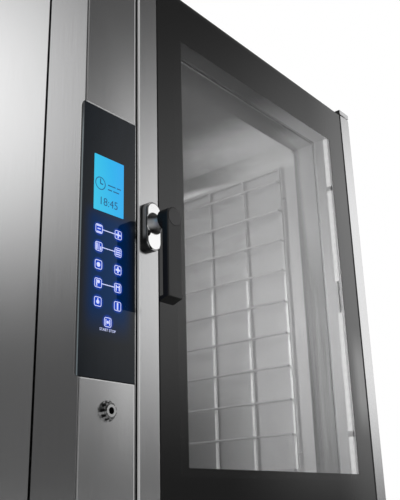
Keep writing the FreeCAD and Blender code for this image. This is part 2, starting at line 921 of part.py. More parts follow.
def motor_plate():
    """Steel plate that carries the fan motors, on stand-offs behind the cavity."""
    left, right = middle_x - motor_plate_width / 2, middle_x + motor_plate_width / 2
    bottom, top = fan_heights[0] - motor_plate_margin, fan_heights[-1] + motor_plate_margin
    plate = block(left, right, motor_plate_front, motor_front, bottom, top)
    holes = []
    posts = []
    inset = 2 * motor_standoff_radius
    for height in fan_heights:
        hole_radius = fan_shaft_radius + shaft_hole_clearance
        holes.append(rod_y(middle_x, motor_plate_front, motor_front, height, hole_radius))
        for x in (left + inset, right - inset):
            for z in (height - motor_plate_margin + inset, height + motor_plate_margin - inset):
                post = rod_y(x, liner_back + sheet, motor_plate_front, z, motor_standoff_radius)
                posts.append(post)
    return joined([plate.cut(group(holes))] + posts)


def fan_motor(height):
    flange_back = motor_front + motor_flange_thickness
    body_back = flange_back + motor_length
    flange = rod_y(middle_x, motor_front, flange_back, height, motor_flange_radius)
    body = rod_y(middle_x, flange_back, body_back, height, motor_radius)
    cap = rod_y(middle_x, body_back, body_back + motor_cap_length, height, motor_cap_radius)
    bore_radius = fan_shaft_radius + running_clearance
    bore = rod_y(middle_x, motor_front, motor_front + motor_bore_depth, height, bore_radius)
    return joined([flange, body, cap]).cut(bore)


def heater_tail_places(height):
    """Where the two straight ends of a heating element leave through the cavity's back."""
    angle = math.radians(heater_tail_angle)
    drop = heater_ring_radius * math.sin(angle)
    across = heater_ring_radius * math.cos(angle)
    return [(middle_x - across, height - drop), (middle_x + across, height - drop)]


def heating_element(height):
    """Ring element of several turns round a fan, held by two clamps."""
    y_back = liner_back - heater_from_back
    rings = []
    for i in range(heater_turns):
        y = y_back - heater_turn_pitch * i
        rings.append(
            Part.makeTorus(heater_ring_radius, heater_tube_radius, point(middle_x, y, height), Y_AXIS)
        )
    y_front = y_back - heater_turn_pitch * (heater_turns - 1)
    reach = heater_tube_radius + heater_clamp_wall
    clamps = []
    for side in (-1, 1):
        z = height + side * heater_ring_radius
        half = heater_clamp_width / 2
        clamps.append(
            block(middle_x - half, middle_x + half, y_front - reach, y_back + reach, z - reach, z + reach)
        )
    tails = []
    for x, z in heater_tail_places(height):
        tail_end = liner_back + sheet + heater_tail_length
        tails.append(rod_y(x, y_front - heater_tail_radius, tail_end, z, heater_tail_radius))
        tails.append(rod_y(x, liner_back - heater_flange_thickness, liner_back, z, heater_flange_radius))
    return joined(rings + clamps + tails)


def water_injector():
    """Upright pipe behind the cavity with a nozzle pipe to each fan."""
    y = injector_y
    top = fan_heights[-1] + 2 * injector_manifold_radius
    pipe = rod_z(injector_x, y, valve_top, top, injector_manifold_radius)
    nozzles = [
        rod_y(injector_x, liner_back - injector_reach, y, height, injector_radius)
        for height in fan_heights
    ]
    return joined([pipe] + nozzles)


def water_valve():
    """Solenoid valve whose threaded inlet passes through the rear panel."""
    x = injector_x
    z = valve_top - valve_height / 2
    half = valve_width / 2
    body = block(x - half, x + half, valve_front, valve_back, valve_top - valve_height, valve_top)
    coil_y = valve_coil_back - valve_coil_radius
    coil = rod_z(x, coil_y, valve_top, valve_top + valve_coil_height, valve_coil_radius)
    inlet_end = cabinet_depth + rear_reach
    inlet = rod_y(x, valve_back, inlet_end, z, inlet_radius)
    flange = rod_y(x, cabinet_depth, cabinet_depth + inlet_flange_thickness, z, inlet_flange_radius)
    bore = rod_y(x, inlet_end - inlet_bore_depth, inlet_end, z, inlet_bore_radius)
    return joined([body, coil, inlet, flange]).cut(bore)


def tube_y(x, y0, y1, z, radius, bore_radius):
    return rod_y(x, y0, y1, z, radius).cut(rod_y(x, y0, y1, z, bore_radius))


def drain_elbow():
    """Bend under the cavity's floor with the socket that takes the drain pipe."""
    bend = drain_bend
    start = point(middle_x, drain_y, liner_bottom - sheet)
    knee_top = point(middle_x, drain_y, drain_z + bend)
    knee_mid = point(
        middle_x, drain_y + bend * (1 - math.cos(math.pi / 4)), drain_z + bend * (1 - math.sin(math.pi / 4))
    )
    knee_end = point(middle_x, drain_y + bend, drain_z)
    path = Part.Wire([
        Part.LineSegment(start, knee_top).toShape(),
        Part.Arc(knee_top, knee_mid, knee_end).toShape(),
    ])
    outer = Part.Wire([Part.Circle(start, Z_AXIS, drain_radius).toShape()])
    inner = Part.Wire([Part.Circle(start, Z_AXIS, drain_radius - drain_wall).toShape()])
    socket_radius = drain_radius + drain_socket_wall
    lip = tube_y(middle_x, knee_end.y - sheet, knee_end.y, drain_z, socket_radius, drain_radius - drain_wall)
    sleeve_end = knee_end.y + drain_socket_length
    sleeve = tube_y(
        middle_x, knee_end.y, sleeve_end, drain_z, socket_radius, drain_radius + fit_clearance
    )
    bend_pipe = path.makePipeShell([outer], True, False).cut(path.makePipeShell([inner], True, False))
    return joined([bend_pipe, lip, sleeve])


def drain_pipe():
    """Straight pipe from the elbow, and the spigot that carries it out through the rear panel."""
    start = drain_y + drain_bend
    bore_radius = drain_radius - drain_wall
    end = cabinet_depth + rear_reach
    bead_end = cabinet_depth + drain_bead_width
    bead = rod_y(middle_x, cabinet_depth, bead_end, drain_z, drain_bead_radius)
    outside = rod_y(middle_x, cabinet_depth, end, drain_z, drain_radius)
    bore = rod_y(middle_x, cabinet_depth, end, drain_z, bore_radius)
    return group([
        tube_y(middle_x, start, cabinet_depth, drain_z, drain_radius, bore_radius),
        joined([outside, bead]).cut(bore),
    ])


def drain_strainer():
    plate = rod_z(middle_x, drain_y, liner_bottom, liner_bottom + strainer_thickness, strainer_radius)
    holes = []
    for i in range(strainer_holes):
        angle = 2 * math.pi * i / strainer_holes
        x = middle_x + strainer_hole_ring * math.cos(angle)
        y = drain_y + strainer_hole_ring * math.sin(angle)
        holes.append(rod_z(x, y, liner_bottom, liner_bottom + strainer_thickness, strainer_hole_radius))
    return plate.cut(group(holes))


def vent_pipe():
    """Steam duct from the cavity with the flap's holes, and the collared spigot on the roof."""
    bottom, top = liner_top + sheet, cabinet_top + vent_above_roof
    parting = flap_z + vent_radius
    bore_radius = vent_radius - vent_wall
    collar_top = cabinet_top + vent_collar_thickness
    collar = rod_z(vent_x, vent_y, cabinet_top, collar_top, vent_collar_radius)
    duct = rod_z(vent_x, vent_y, bottom, parting, vent_radius)
    spigot = joined([rod_z(vent_x, vent_y, parting, top, vent_radius), collar])
    shaft_hole = rod_x(
        vent_x - 2 * vent_radius, vent_x + 2 * vent_radius, vent_y, flap_z,
        flap_shaft_radius + running_clearance,
    )
    return group([
        duct.cut(rod_z(vent_x, vent_y, bottom, parting, bore_radius)).cut(shaft_hole),
        spigot.cut(rod_z(vent_x, vent_y, parting, top, bore_radius)),
    ])


def vent_flap():
    """Round flap on its cross shaft, closed across the vent at rest."""
    flap_radius = vent_radius - vent_wall - fit_clearance
    disc = rod_z(vent_x, vent_y, flap_z - flap_thickness / 2, flap_z + flap_thickness / 2, flap_radius)
    start = vent_x - vent_radius - actuator_gap - flap_engagement
    shaft = rod_x(start, vent_x + vent_radius + vent_wall, vent_y, flap_z, flap_shaft_radius)
    return joined([disc, shaft])


def vent_actuator():
    right = vent_x - vent_radius - actuator_gap
    half = actuator_width / 2
    z0, z1 = flap_z - actuator_height / 2, flap_z + actuator_height / 2
    body = block(right - actuator_length, right, vent_y - half, vent_y + half, z0, z1)
    bore = rod_x(
        right - flap_engagement - fit_clearance, right, vent_y, flap_z,
        flap_shaft_radius + running_clearance,
    )
    straps = []
    for z in (z0, z1 - actuator_strap):
        straps.append(
            block(right, vent_x, vent_y - actuator_strap, vent_y + actuator_strap, z, z + actuator_strap)
        )
    pipe = rod_z(vent_x, vent_y, z0, z1, vent_radius)
    return joined([body.cut(bore)] + [strap.cut(pipe) for strap in straps])


def component_plate():
    """Upright mounting plate in the electrical compartment, standing on the base."""
    x0 = component_plate_from_left
    y0, y1 = component_plate_front, component_plate_back
    plate = block(x0, x0 + sheet, y0, y1, base_top, component_plate_top)
    flange = block(x0 - component_plate_foot, x0, y0, y1, base_top, base_top + sheet)
    return joined([plate, flange])


def power_components():
    """Contactors, power board and terminal block on the mounting plate."""
    x1 = component_plate_from_left
    pieces = []
    for i in range(contactor_count):
        y0 = contactor_front + contactor_pitch * i
        z0, z1 = contactor_bottom, contactor_bottom + contactor_height
        body = block(x1 - contactor_depth, x1, y0, y0 + contactor_width, z0, z1)
        notch_bottom = block(
            x1 - contactor_depth, x1 - contactor_depth / 2, y0, y0 + contactor_width, z0, z0 + contactor_cap
        )
        notch_top = notch_bottom.translated(point(0, 0, contactor_height - contactor_cap))
        pieces.append(body.cut(group([notch_bottom, notch_top])))
    board_x = x1 - board_standoff
    y0, z0 = contactor_front, power_board_bottom
    board = block(
        board_x - board_thickness, board_x, y0, y0 + power_board_width, z0, z0 + power_board_height
    )
    posts = []
    inset = 3 * board_standoff_radius
    for y in (y0 + inset, y0 + power_board_width - inset):
        for z in (z0 + inset, z0 + power_board_height - inset):
            posts.append(rod_x(board_x, x1, y, z, board_standoff_radius))
    pieces.append(joined([board] + posts))
    y1 = component_plate_back - panel_fold
    z0 = terminal_block_bottom
    pieces.append(
        block(x1 - terminal_block_depth, x1, y1 - terminal_block_width, y1, z0, z0 + terminal_block_height)
    )
    return group(pieces)


def cable_gland():
    x, z = gland_from_left, gland_z
    nut = hexagonal_prism(x, cabinet_depth, cabinet_depth + inlet_flange_thickness, z, 2 * gland_radius)
    dome_end = cabinet_depth + rear_reach - inlet_flange_thickness
    dome = Part.makeCone(
        gland_radius, gland_thread_radius, dome_end - cabinet_depth - inlet_flange_thickness,
        point(x, cabinet_depth + inlet_flange_thickness, z), Y_AXIS,
    )
    thread = rod_y(x, cabinet_depth - gland_thread_length, cabinet_depth, z, gland_thread_radius)
    bore = rod_y(x, cabinet_depth - gland_thread_length, dome_end, z, gland_bore_radius)
    return joined([nut, dome, thread]).cut(bore)


def cooling_fan_frame():
    """Square fan frame on the rear panel, with struts that hold the rotor's pin."""
    half = cooling_fan_size / 2
    y0 = rear_panel_front - cooling_fan_depth
    y1 = rear_panel_front
    frame = block(cooling_x - half, cooling_x + half, y0, y1, cooling_z - half, cooling_z + half)
    frame = frame.cut(rod_y(cooling_x, y0, y1, cooling_z, cooling_fan_bore))
    strut_front = y1 - cooling_strut_depth
    w = cooling_strut / 2
    reach = cooling_fan_bore + w
    struts = [
        block(cooling_x - reach, cooling_x + reach, strut_front, y1, cooling_z - w, cooling_z + w),
        block(cooling_x - w, cooling_x + w, strut_front, y1, cooling_z - reach, cooling_z + reach),
        rod_y(cooling_x, strut_front, y1, cooling_z, cooling_hub_radius),
    ]
    pin_front = strut_front - fit_clearance - cooling_hub_depth
    pin = rod_y(cooling_x, pin_front, strut_front, cooling_z, cooling_pin_radius)
    return joined([frame] + struts + [pin])


def cooling_fan_rotor():
    y1 = rear_panel_front - cooling_strut_depth - fit_clearance
    y0 = y1 - cooling_hub_depth
    hub = rod_y(cooling_x, y0, y1, cooling_z, cooling_hub_radius)
    tip = cooling_fan_bore - cooling_rotor_gap
    blades = []
    for i in range(cooling_blades):
        chord = cooling_hub_depth - cooling_blade_thickness
        blade = block(
            0, tip, -chord / 2, chord / 2, -cooling_blade_thickness / 2, cooling_blade_thickness / 2
        )
        blade.rotate(point(0, 0, 0), X_AXIS, cooling_blade_tilt)
        blade.rotate(point(0, 0, 0), Y_AXIS, 360.0 * i / cooling_blades)
        blade.translate(point(cooling_x, (y0 + y1) / 2, cooling_z))
        blades.append(blade)
    swept = rod_y(cooling_x, y0, y1, cooling_z, tip)
    bore = rod_y(cooling_x, y0, y1, cooling_z, cooling_pin_radius + running_clearance)
    return joined([hub] + blades).common(swept).cut(bore)


def hinge_bracket(plate_bottom, tab_bottom, tab_top):
    """Hinge plate over or under the right stile, with a tab fixed to the cavity front frame."""
    x0, x1 = glass_right, cabinet_width
    plate = block(x0, x1, 0, front_frame_set_back, plate_bottom, plate_bottom + hinge_plate_thickness)
    tab_front = front_frame_set_back - hinge_tab_thickness
    tab = block(x0, x1, tab_front, front_frame_set_back, tab_bottom, tab_top)
    return joined([plate, tab])


def upper_hinge_bracket():
    bracket = hinge_bracket(hinge_plate_bottom, hinge_plate_bottom - hinge_tab_height, cabinet_top)
    hole = rod_z(hinge_x, hinge_set_back, hinge_plate_bottom, cabinet_top, hinge_pin_radius)
    return bracket.cut(hole)


def lower_hinge_bracket():
    """Lower bracket with the raised boss that carries the door's weight."""
    plate_top = base_top + hinge_plate_thickness
    bracket = hinge_bracket(base_top, base_top, plate_top + hinge_tab_height)
    boss = rod_z(hinge_x, hinge_set_back, plate_top, door_bottom, hinge_boss_radius)
    hole = rod_z(hinge_x, hinge_set_back, base_top, door_bottom, hinge_pin_radius)
    return joined([bracket, boss]).cut(hole)


def hinge_pins():
    upper = rod_z(
        hinge_x, hinge_set_back, door_top - hinge_pin_engagement, cabinet_top, hinge_pin_radius
    )
    lower = rod_z(
        hinge_x, hinge_set_back, base_top, door_bottom + hinge_pin_engagement, hinge_pin_radius
    )
    return group([upper, lower])


def hinge_bushes():
    bushes = []
    for z0 in (door_bottom, door_top - hinge_bush_length):
        z1 = z0 + hinge_bush_length
        bush = rod_z(hinge_x, hinge_set_back, z0, z1, hinge_bush_radius)
        hole = rod_z(hinge_x, hinge_set_back, z0, z1, hinge_pin_radius + running_clearance)
        bushes.append(bush.cut(hole))
    return group(bushes)


def latch_reach():
    return max(latch_hub_radius, latch_nose_length)


def latch_keeper():
    """Strike plate beside the oven's mouth, with a cup that the latch hook turns in."""
    y0 = front_frame_set_back
    y1 = y0 + keeper_plate_thickness
    half = keeper_height / 2
    hole_radius = latch_reach() + keeper_clearance
    plate = block(column_width, opening_left, y0, y1, handle_z - half, handle_z + half)
    cup_back = latch_back + latch_gap
    cup = rod_y(handle_x, y1, cup_back + keeper_cup_wall, handle_z, hole_radius + keeper_cup_wall)
    hole = rod_y(handle_x, y0, cup_back, handle_z, hole_radius)
    throat_side = block(
        opening_left - sheet, opening_left, y0 + sheet, y1, handle_z - half, handle_z + half
    )
    return joined([plate.cut(throat_side), cup]).cut(hole)


def drip_gutter():
    left, right = door_left + gutter_side_gap, glass_right - gutter_side_gap
    back, top = gutter_front + gutter_depth, base_top + gutter_height
    return tray(left, right, gutter_front, back, base_top, top, sheet, "+z")


def door_left_stile():
    """Folded steel stile that carries the handle, open at its lower end."""
    outer = block(door_left, glass_left, 0, left_stile_depth, door_bottom, door_top)
    outer = rounded_edges(outer, Z_AXIS, stile_edge_radius)
    inside = block(
        door_left + stile_sheet, glass_left - stile_sheet, stile_sheet, left_stile_depth - stile_sheet,
        door_bottom - stile_sheet, door_top - stile_sheet,
    )
    hole = rod_y(handle_x, 0, left_stile_depth, handle_z, spindle_radius + running_clearance)
    return outer.cut(inside).cut(hole)


def door_right_stile():
    """Folded steel stile on the hinge side, with solid ends that hold the hinge bushes."""
    outer = block(glass_right, cabinet_width, 0, right_stile_depth, door_bottom, door_top)
    outer = rounded_edges(outer, Z_AXIS, stile_edge_radius)
    plug = hinge_bush_length + stile_sheet
    inside = block(
        glass_right + stile_sheet, cabinet_width - stile_sheet,
        stile_sheet, right_stile_depth + stile_sheet, door_bottom + plug, door_top - plug,
    )
    holes = [
        rod_z(hinge_x, hinge_set_back, z0, z0 + hinge_bush_length, hinge_bush_radius)
        for z0 in (door_bottom, door_top - hinge_bush_length)
    ]
    return outer.cut(group([inside] + holes))


def outer_glass():
    return block(
        glass_left, glass_right, 0, outer_glass_thickness, door_bottom + glass_gap, door_top - glass_gap
    )


def square_tube(x0, x1, y0, y1, z0, z1, wall, along):
    """A box tube that is open at both ends of the axis it runs along."""
    spans = {"x": [x0, x1], "y": [y0, y1], "z": [z0, z1]}
    for axis, span in spans.items():
        step = -wall if axis == along else wall
        span[0] += step
        span[1] -= step
    return block(x0, x1, y0, y1, z0, z1).cut(block(*spans["x"], *spans["y"], *spans["z"]))


def door_inner_frame():
    """Top rail, bottom rail and two side members, all box tubes behind the outer glass."""
    y0, y1 = outer_glass_thickness, rail_back
    left, right = window_left - frame_beyond_window, window_right + frame_beyond_window
    bottom, top = window_bottom - frame_beyond_window, window_top + frame_beyond_window
    low, high = door_bottom + glass_gap, door_top - glass_gap
    return group([
        square_tube(glass_left, glass_right, y0, y1, top, high, rail_sheet, "x"),
        square_tube(glass_left, glass_right, y0, y1, low, bottom, rail_sheet, "x"),
        square_tube(glass_left, left, y0, y1, bottom, top, rail_sheet, "z"),
        square_tube(right, glass_right, y0, y1, bottom, top, rail_sheet, "z"),
    ])


def inner_glass_edges():
    past = inner_glass_beyond_opening
    return (opening_left - past, opening_right + past, opening_bottom - past, opening_top + past)


def inner_glass():
    left, right, bottom, top = inner_glass_edges()
    return block(left, right, rail_back, inner_glass_back, bottom, top)


def inner_glass_clips():
    """Folded clips along both upright edges of the inner glass."""
    left, right, bottom, top = inner_glass_edges()
    clips = []
    lip_back = inner_glass_back + glass_clip_sheet
    for i in range(glass_clip_count):
        z0 = bottom + (top - bottom) * (i + 0.5) / glass_clip_count - glass_clip_length / 2
        z1 = z0 + glass_clip_length
        clips.append(joined([
            block(left - glass_clip_width, left, rail_back, lip_back, z0, z1),
            block(left, left + glass_clip_lip, inner_glass_back, lip_back, z0, z1),
        ]))
        clips.append(joined([
            block(right, right + glass_clip_width, rail_back, lip_back, z0, z1),
            block(right - glass_clip_lip, right, inner_glass_back, lip_back, z0, z1),
        ]))
    return group(clips)


def light_bars():
    """Light bars on the inner faces of the door's side members, two above each other on each."""
    y0, y1 = light_bar_depth_start, light_bar_depth_start + light_bar_width
    left, right = window_left - frame_beyond_window, window_right + frame_beyond_window
    lower = window_bottom - frame_beyond_window + light_bar_end_gap
    upper = window_top + frame_beyond_window - light_bar_end_gap
    half_gap = light_bar_middle_gap / 2
    bars = []
    for z0, z1 in ((lower, middle_z - half_gap), (middle_z + half_gap, upper)):
        bars.append(block(left, left + light_bar_thickness, y0, y1, z0, z1))
        bars.append(block(right - light_bar_thickness, right, y0, y1, z0, z1))
    return group(bars)


def stadium(x, z_low, z_high, radius, y0, y1):
    """Upright slot-shaped bar: round ends about two centres, from depth y0 to y1."""
    ends = [rod_y(x, y0, y1, z, radius) for z in (z_low, z_high)]
    return joined(ends + [block(x - radius, x + radius, y0, y1, z_low, z_high)])


def front_edges(shape, y, tolerance):
    return [edge for edge in shape.Edges if edge.BoundBox.YMax < y + tolerance]


def is_at(edge, y, z):
    """True for an edge that runs across at one depth and height."""
    box = edge.BoundBox
    reach = max(abs(box.YMin - y), abs(box.YMax - y), abs(box.ZMin - z), abs(box.ZMax - z))
    return reach < fit_clearance


def handle_base():
    """Chrome base on the stile with a flared neck towards the lever."""
    radius = handle_base_width / 2
    half = handle_base_height / 2 - radius
    z = handle_z - handle_base_drop
    plate = stadium(handle_x, z - half, z + half, radius, -handle_base_thickness, 0)
    rim = front_edges(plate, -handle_base_thickness, fit_clearance)
    plate = plate.makeFillet(handle_base_edge, rim)
    root = point(handle_x + handle_neck_root_radius, -handle_base_thickness, handle_z)
    end = point(handle_x + handle_neck_radius, -neck_end, handle_z)
    bend = point(
        handle_x + handle_neck_radius + handle_flare_out,
        -handle_base_thickness - handle_flare_reach,
        handle_z,
    )
    outline = Part.Wire([
        Part.Arc(root, bend, end).toShape(),
        Part.LineSegment(end, point(handle_x, -neck_end, handle_z)).toShape(),
        Part.LineSegment(
            point(handle_x, -neck_end, handle_z), point(handle_x, -handle_base_thickness, handle_z)
        ).toShape(),
        Part.LineSegment(point(handle_x, -handle_base_thickness, handle_z), root).toShape(),
    ])
    neck = Part.Face(outline).revolve(point(handle_x, 0, handle_z), Y_AXIS, 360)
    seat_back = handle_base_edge - handle_base_thickness
    seat = rod_y(handle_x, -handle_base_thickness, seat_back, handle_z, handle_neck_root_radius)
    neck = joined([neck, seat]).common(stadium(handle_x, z - half, z + half, radius, -neck_end, 0))
    bore = rod_y(handle_x, -neck_end, 0, handle_z, spindle_radius + running_clearance)
    return joined([plate, neck]).cut(bore)


def handle_lever():
    """Black lever that hangs from its hub, with a toe at the lower end."""
    half = lever_width / 2
    bottom = handle_z - lever_drop
    arm = rod_y(handle_x, -lever_front, -lever_back, handle_z, half)
    strip = block(handle_x - half, handle_x + half, -lever_front, -lever_back, bottom, handle_z)
    arm = joined([arm, strip])
    arm = arm.makeFillet(lever_edge_radius, front_edges(arm, -lever_front, fit_clearance))
    toe_back = -lever_back + lever_toe_depth
    toe_top = bottom + lever_toe_height
    toe = block(handle_x - half, handle_x + half, -lever_back, toe_back, bottom, toe_top)
    toe = toe.makeFillet(lever_toe_round, [edge for edge in toe.Edges if is_at(edge, toe_back, toe_top)])
    hub = rod_y(handle_x, -lever_back, -neck_end - fit_clearance, handle_z, half)
    recess_radius = handle_cap_radius + handle_cap_gap
    recess = rod_y(handle_x, -lever_front, -lever_front + handle_cap_recess, handle_z, recess_radius)
    bore_end = -neck_end - fit_clearance
    bore = rod_y(handle_x, bore_end - spindle_bore_depth, bore_end, handle_z, spindle_radius)
    slant_depth = lever_depth + lever_toe_depth
    slant = Part.Face(Part.makePolygon([
        point(handle_x - lever_width, -lever_front, bottom),
        point(handle_x - lever_width, -lever_front, bottom + lever_toe_slant),
        point(handle_x - lever_width, -lever_front + slant_depth, bottom),
        point(handle_x - lever_width, -lever_front, bottom),
    ])).extrude(point(2 * lever_width, 0, 0))
    return joined([arm, toe, hub]).cut(group([recess, bore])).cut(slant)


def handle_cap():
    return rod_y(
        handle_x, -lever_front - handle_cap_proud, -lever_front + handle_cap_recess, handle_z,
        handle_cap_radius,
    )


def handle_spindle():
    """Spindle from the lever through the stile, with the latch hook on its end."""
    start = -neck_end - fit_clearance - spindle_bore_depth
    shaft = rod_y(handle_x, start, latch_back, handle_z, spindle_radius)
    hub = rod_y(handle_x, latch_front, latch_back, handle_z, latch_hub_radius)
    half = latch_nose_width / 2
    nose = block(
        handle_x - half, handle_x + half, latch_front, latch_back,
        handle_z - latch_nose_length + half, handle_z,
    )
    tip = rod_y(handle_x, latch_front, latch_back, handle_z - latch_nose_length + half, half)
    return joined([shaft, hub, nose, tip])


def all_nodes():
    nodes = {
        "base_frame": base_frame(),
        "left_side_panel": left_side_panel(),
        "right_side_panel": right_side_panel(),
        "top_panel": top_panel(),
        "rear_panel": rear_panel(),
        "rear_panel_screws": rear_panel_screws(),
        "column_frame": column_frame(),
        "column_upper_plate": column_upper_plate(),
        "column_lower_plate": column_lower_plate(),
        "control_glass": control_glass(),
        "control_carrier": control_carrier(),
        "control_board": control_board(),
        "probe_socket": probe_socket(),
        "cavity_front_frame": cavity_front_frame(),
        "cavity_liner": cavity_liner(),
        "cavity_ceiling": cavity_ceiling(),
        "left_tray_rack": left_tray_rack(),
        "right_tray_rack": right_tray_rack(),
        "door_seal": door_seal(),
        "insulation": insulation(),
        "fan_baffle": fan_baffle(),
        "motor_plate": motor_plate(),
        "water_injector": water_injector(),
        "water_valve": water_valve(),
        "drain_elbow": drain_elbow(),
        "drain_pipe": drain_pipe(),
        "drain_strainer": drain_strainer(),
        "vent_pipe": vent_pipe(),
        "vent_flap": vent_flap(),
        "vent_actuator": vent_actuator(),
        "component_plate": component_plate(),
        "power_components": power_components(),
        "cable_gland": cable_gland(),
        "cooling_fan_frame": cooling_fan_frame(),
        "cooling_fan_rotor": cooling_fan_rotor(),
        "upper_hinge_bracket": upper_hinge_bracket(),
        "lower_hinge_bracket": lower_hinge_bracket(),
        "hinge_pins": hinge_pins(),
        "hinge_bushes": hinge_bushes(),
        "latch_keeper": latch_keeper(),
        "drip_gutter": drip_gutter(),
        "door_left_stile": door_left_stile(),
        "door_right_stile": door_right_stile(),
        "outer_glass": outer_glass(),
        "door_inner_frame": door_inner_frame(),
        "inner_glass": inner_glass(),
        "inner_glass_clips": inner_glass_clips(),
        "light_bars": light_bars(),
        "handle_base": handle_base(),
        "handle_lever": handle_lever(),
        "handle_cap": handle_cap(),
        "handle_spindle": handle_spindle(),
        "fan_motors": group([fan_motor(height) for height in fan_heights]),
        "heating_elements": group([heating_element(height) for height in fan_heights]),
    }
    for number, height in enumerate(fan_heights, start=1):
        nodes[f"fan_wheel_{number}"] = fan_wheel(height)
    for number, place in enumerate(foot_places, start=1):
        nodes[f"foot_{number}"] = foot(place)
    return nodes


os.makedirs("parts", exist_ok=True)
for name, shape in all_nodes().items():
    shape.translate(to_part_frame)
    shape.exportStep(f"parts/{name}.step")
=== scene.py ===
import json
import math

import bmesh
import bpy
from mathutils import Matrix, Vector


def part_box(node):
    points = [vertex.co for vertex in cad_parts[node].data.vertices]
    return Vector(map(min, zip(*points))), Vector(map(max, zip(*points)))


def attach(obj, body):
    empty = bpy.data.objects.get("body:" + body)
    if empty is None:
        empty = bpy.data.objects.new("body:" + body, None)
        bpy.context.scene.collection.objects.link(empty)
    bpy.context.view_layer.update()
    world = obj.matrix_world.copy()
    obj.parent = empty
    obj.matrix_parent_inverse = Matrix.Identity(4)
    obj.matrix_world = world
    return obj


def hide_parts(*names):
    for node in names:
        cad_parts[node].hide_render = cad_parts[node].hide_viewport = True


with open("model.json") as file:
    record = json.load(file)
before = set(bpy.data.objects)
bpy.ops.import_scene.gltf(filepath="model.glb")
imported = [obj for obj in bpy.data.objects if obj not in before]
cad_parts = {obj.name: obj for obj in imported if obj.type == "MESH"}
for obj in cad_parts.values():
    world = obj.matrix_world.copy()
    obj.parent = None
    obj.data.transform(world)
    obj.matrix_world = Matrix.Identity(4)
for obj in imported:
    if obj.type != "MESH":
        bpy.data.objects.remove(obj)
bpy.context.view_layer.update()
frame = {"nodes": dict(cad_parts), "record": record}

scene = bpy.context.scene

# Camera, fitted to the photograph
camera_place = (-1.18099, -1.21171, 0.16823)
camera_yaw = math.radians(50.8352)
camera_pitch = math.radians(18.9735)
camera_roll = math.radians(-1.5806)
camera_lens = 54.508
camera_sensor = 36.0

# Steel: its grain upright, level and turned, the depth of brushed lines, and its cool tint
vertical_grain = (1400, 1400, 9)
level_grain = (1400, 9, 1400)
turned_grain = (60, 60, 1200)
brush_depth = 0.00004
steel_tint = 0.006

# Door glass: the clear window inside the printed border
window_left = 0.068
window_right = 0.0695
window_bottom = 0.1025
window_top = 0.0975

# Control glass: display and touch keys, from the glass's lower left corner
screen_x0 = 0.0234
screen_x1 = 0.0889
screen_z0 = 0.2635
screen_z1 = 0.3595
screen_corner = 0.0015
digit_size = 0.0190
key_columns = (0.0360, 0.0775)
key_top_row = 0.2331
key_row_step = 0.02935
key_rows = 5
key_size = 0.0150
key_corner = 0.0032
key_line = 0.0011
joined_rows = (0, 1, 3)
join_half = 0.0007
start_key = (0.0572, 0.0870)
word_size = 0.0060
word_drop = 0.0145
letter_depth = 0.0001

# Cavity: radius of its long corners, and its sheet
cove_radius = 0.044
cavity_sheet = 0.0015

# Light bars: straps with a rib across them, and links with three lugs
fitting_thickness = 0.003
strap_heights = (0.319, 0.908)
strap_half_height = 0.006
strap_half_depth = 0.0064
strap_proud = 0.0012
rib_half_height = 0.0015
rib_proud = 0.0018
link_half_height = 0.0385
link_half_depth = 0.0012
lug_heights = (-0.021, 0.0, 0.021)
lug_half_height = 0.003
lug_half_depth = 0.0026
lug_proud = 0.0010

# Beads at the door glass: widths on the left and the right, and their section
bead_left = 0.0016
bead_right = 0.0048
bead_round = 0.0005
bead_proud = 0.0004
bead_end = 0.001

# Door seal: width of its solid, and its bulb
seal_width = 0.014
seal_corner = 0.016
bulb_half_width = 0.0062
bulb_clearance = 0.0001
bulb_dent = 0.16
bulb_sides = 20

# Rear panel: its screws, its slots with the lowest of each group, and the hoods over them
screw_radius = 0.005
screw_recess = 0.001
screw_rows = 6
screw_turn = math.radians(37)
slot_middle = 0.061
slot_starts = (0.340, 0.750)
slot_count = 9
slot_step = 0.022
slot_length = 0.150
hood_past_slot = 0.012
hood_drop = 0.0042
hood_rise = 0.0125
hood_proud = 0.0055
hood_sheet = 0.0010


def maths_method(operation, swapped=False):
    """A method of Wire that adds a Math node, swapped where the wire comes second."""
    def method(wire, other=0.0):
        first, second = (other, wire) if swapped else (wire, other)
        return wire.tree.node("ShaderNodeMath", {0: first, 1: second}, {"operation": operation})
    return method


class Wire:
    """An output socket for Python expressions: each operation adds a Math node."""

    def __init__(self, tree, socket):
        self.tree = tree
        self.socket = socket

    __add__ = maths_method("ADD")
    __radd__ = maths_method("ADD", True)
    __sub__ = maths_method("SUBTRACT")
    __rsub__ = maths_method("SUBTRACT", True)
    __mul__ = maths_method("MULTIPLY")
    __rmul__ = maths_method("MULTIPLY", True)
    __truediv__ = maths_method("DIVIDE")
    __pow__ = maths_method("POWER")
    __abs__ = maths_method("ABSOLUTE")
    least = maths_method("MINIMUM")
    most = maths_method("MAXIMUM")
    fold = maths_method("PINGPONG")
    arcsine = maths_method("ARCSINE")
    arctangent = maths_method("ARCTAN2")

    def fade(self, start, end):
        """0 at start and 1 at end, smoothly between."""
        links = {"Value": self, "From Min": start, "From Max": end}
        return self.tree.node("ShaderNodeMapRange", links, {"interpolation_type": "SMOOTHSTEP"})

    def within(self, start, full, fall, end):
        """0 up to start, 1 from full to fall, and 0 again from end."""
        return self.fade(start, full) * self.fade(end, fall)


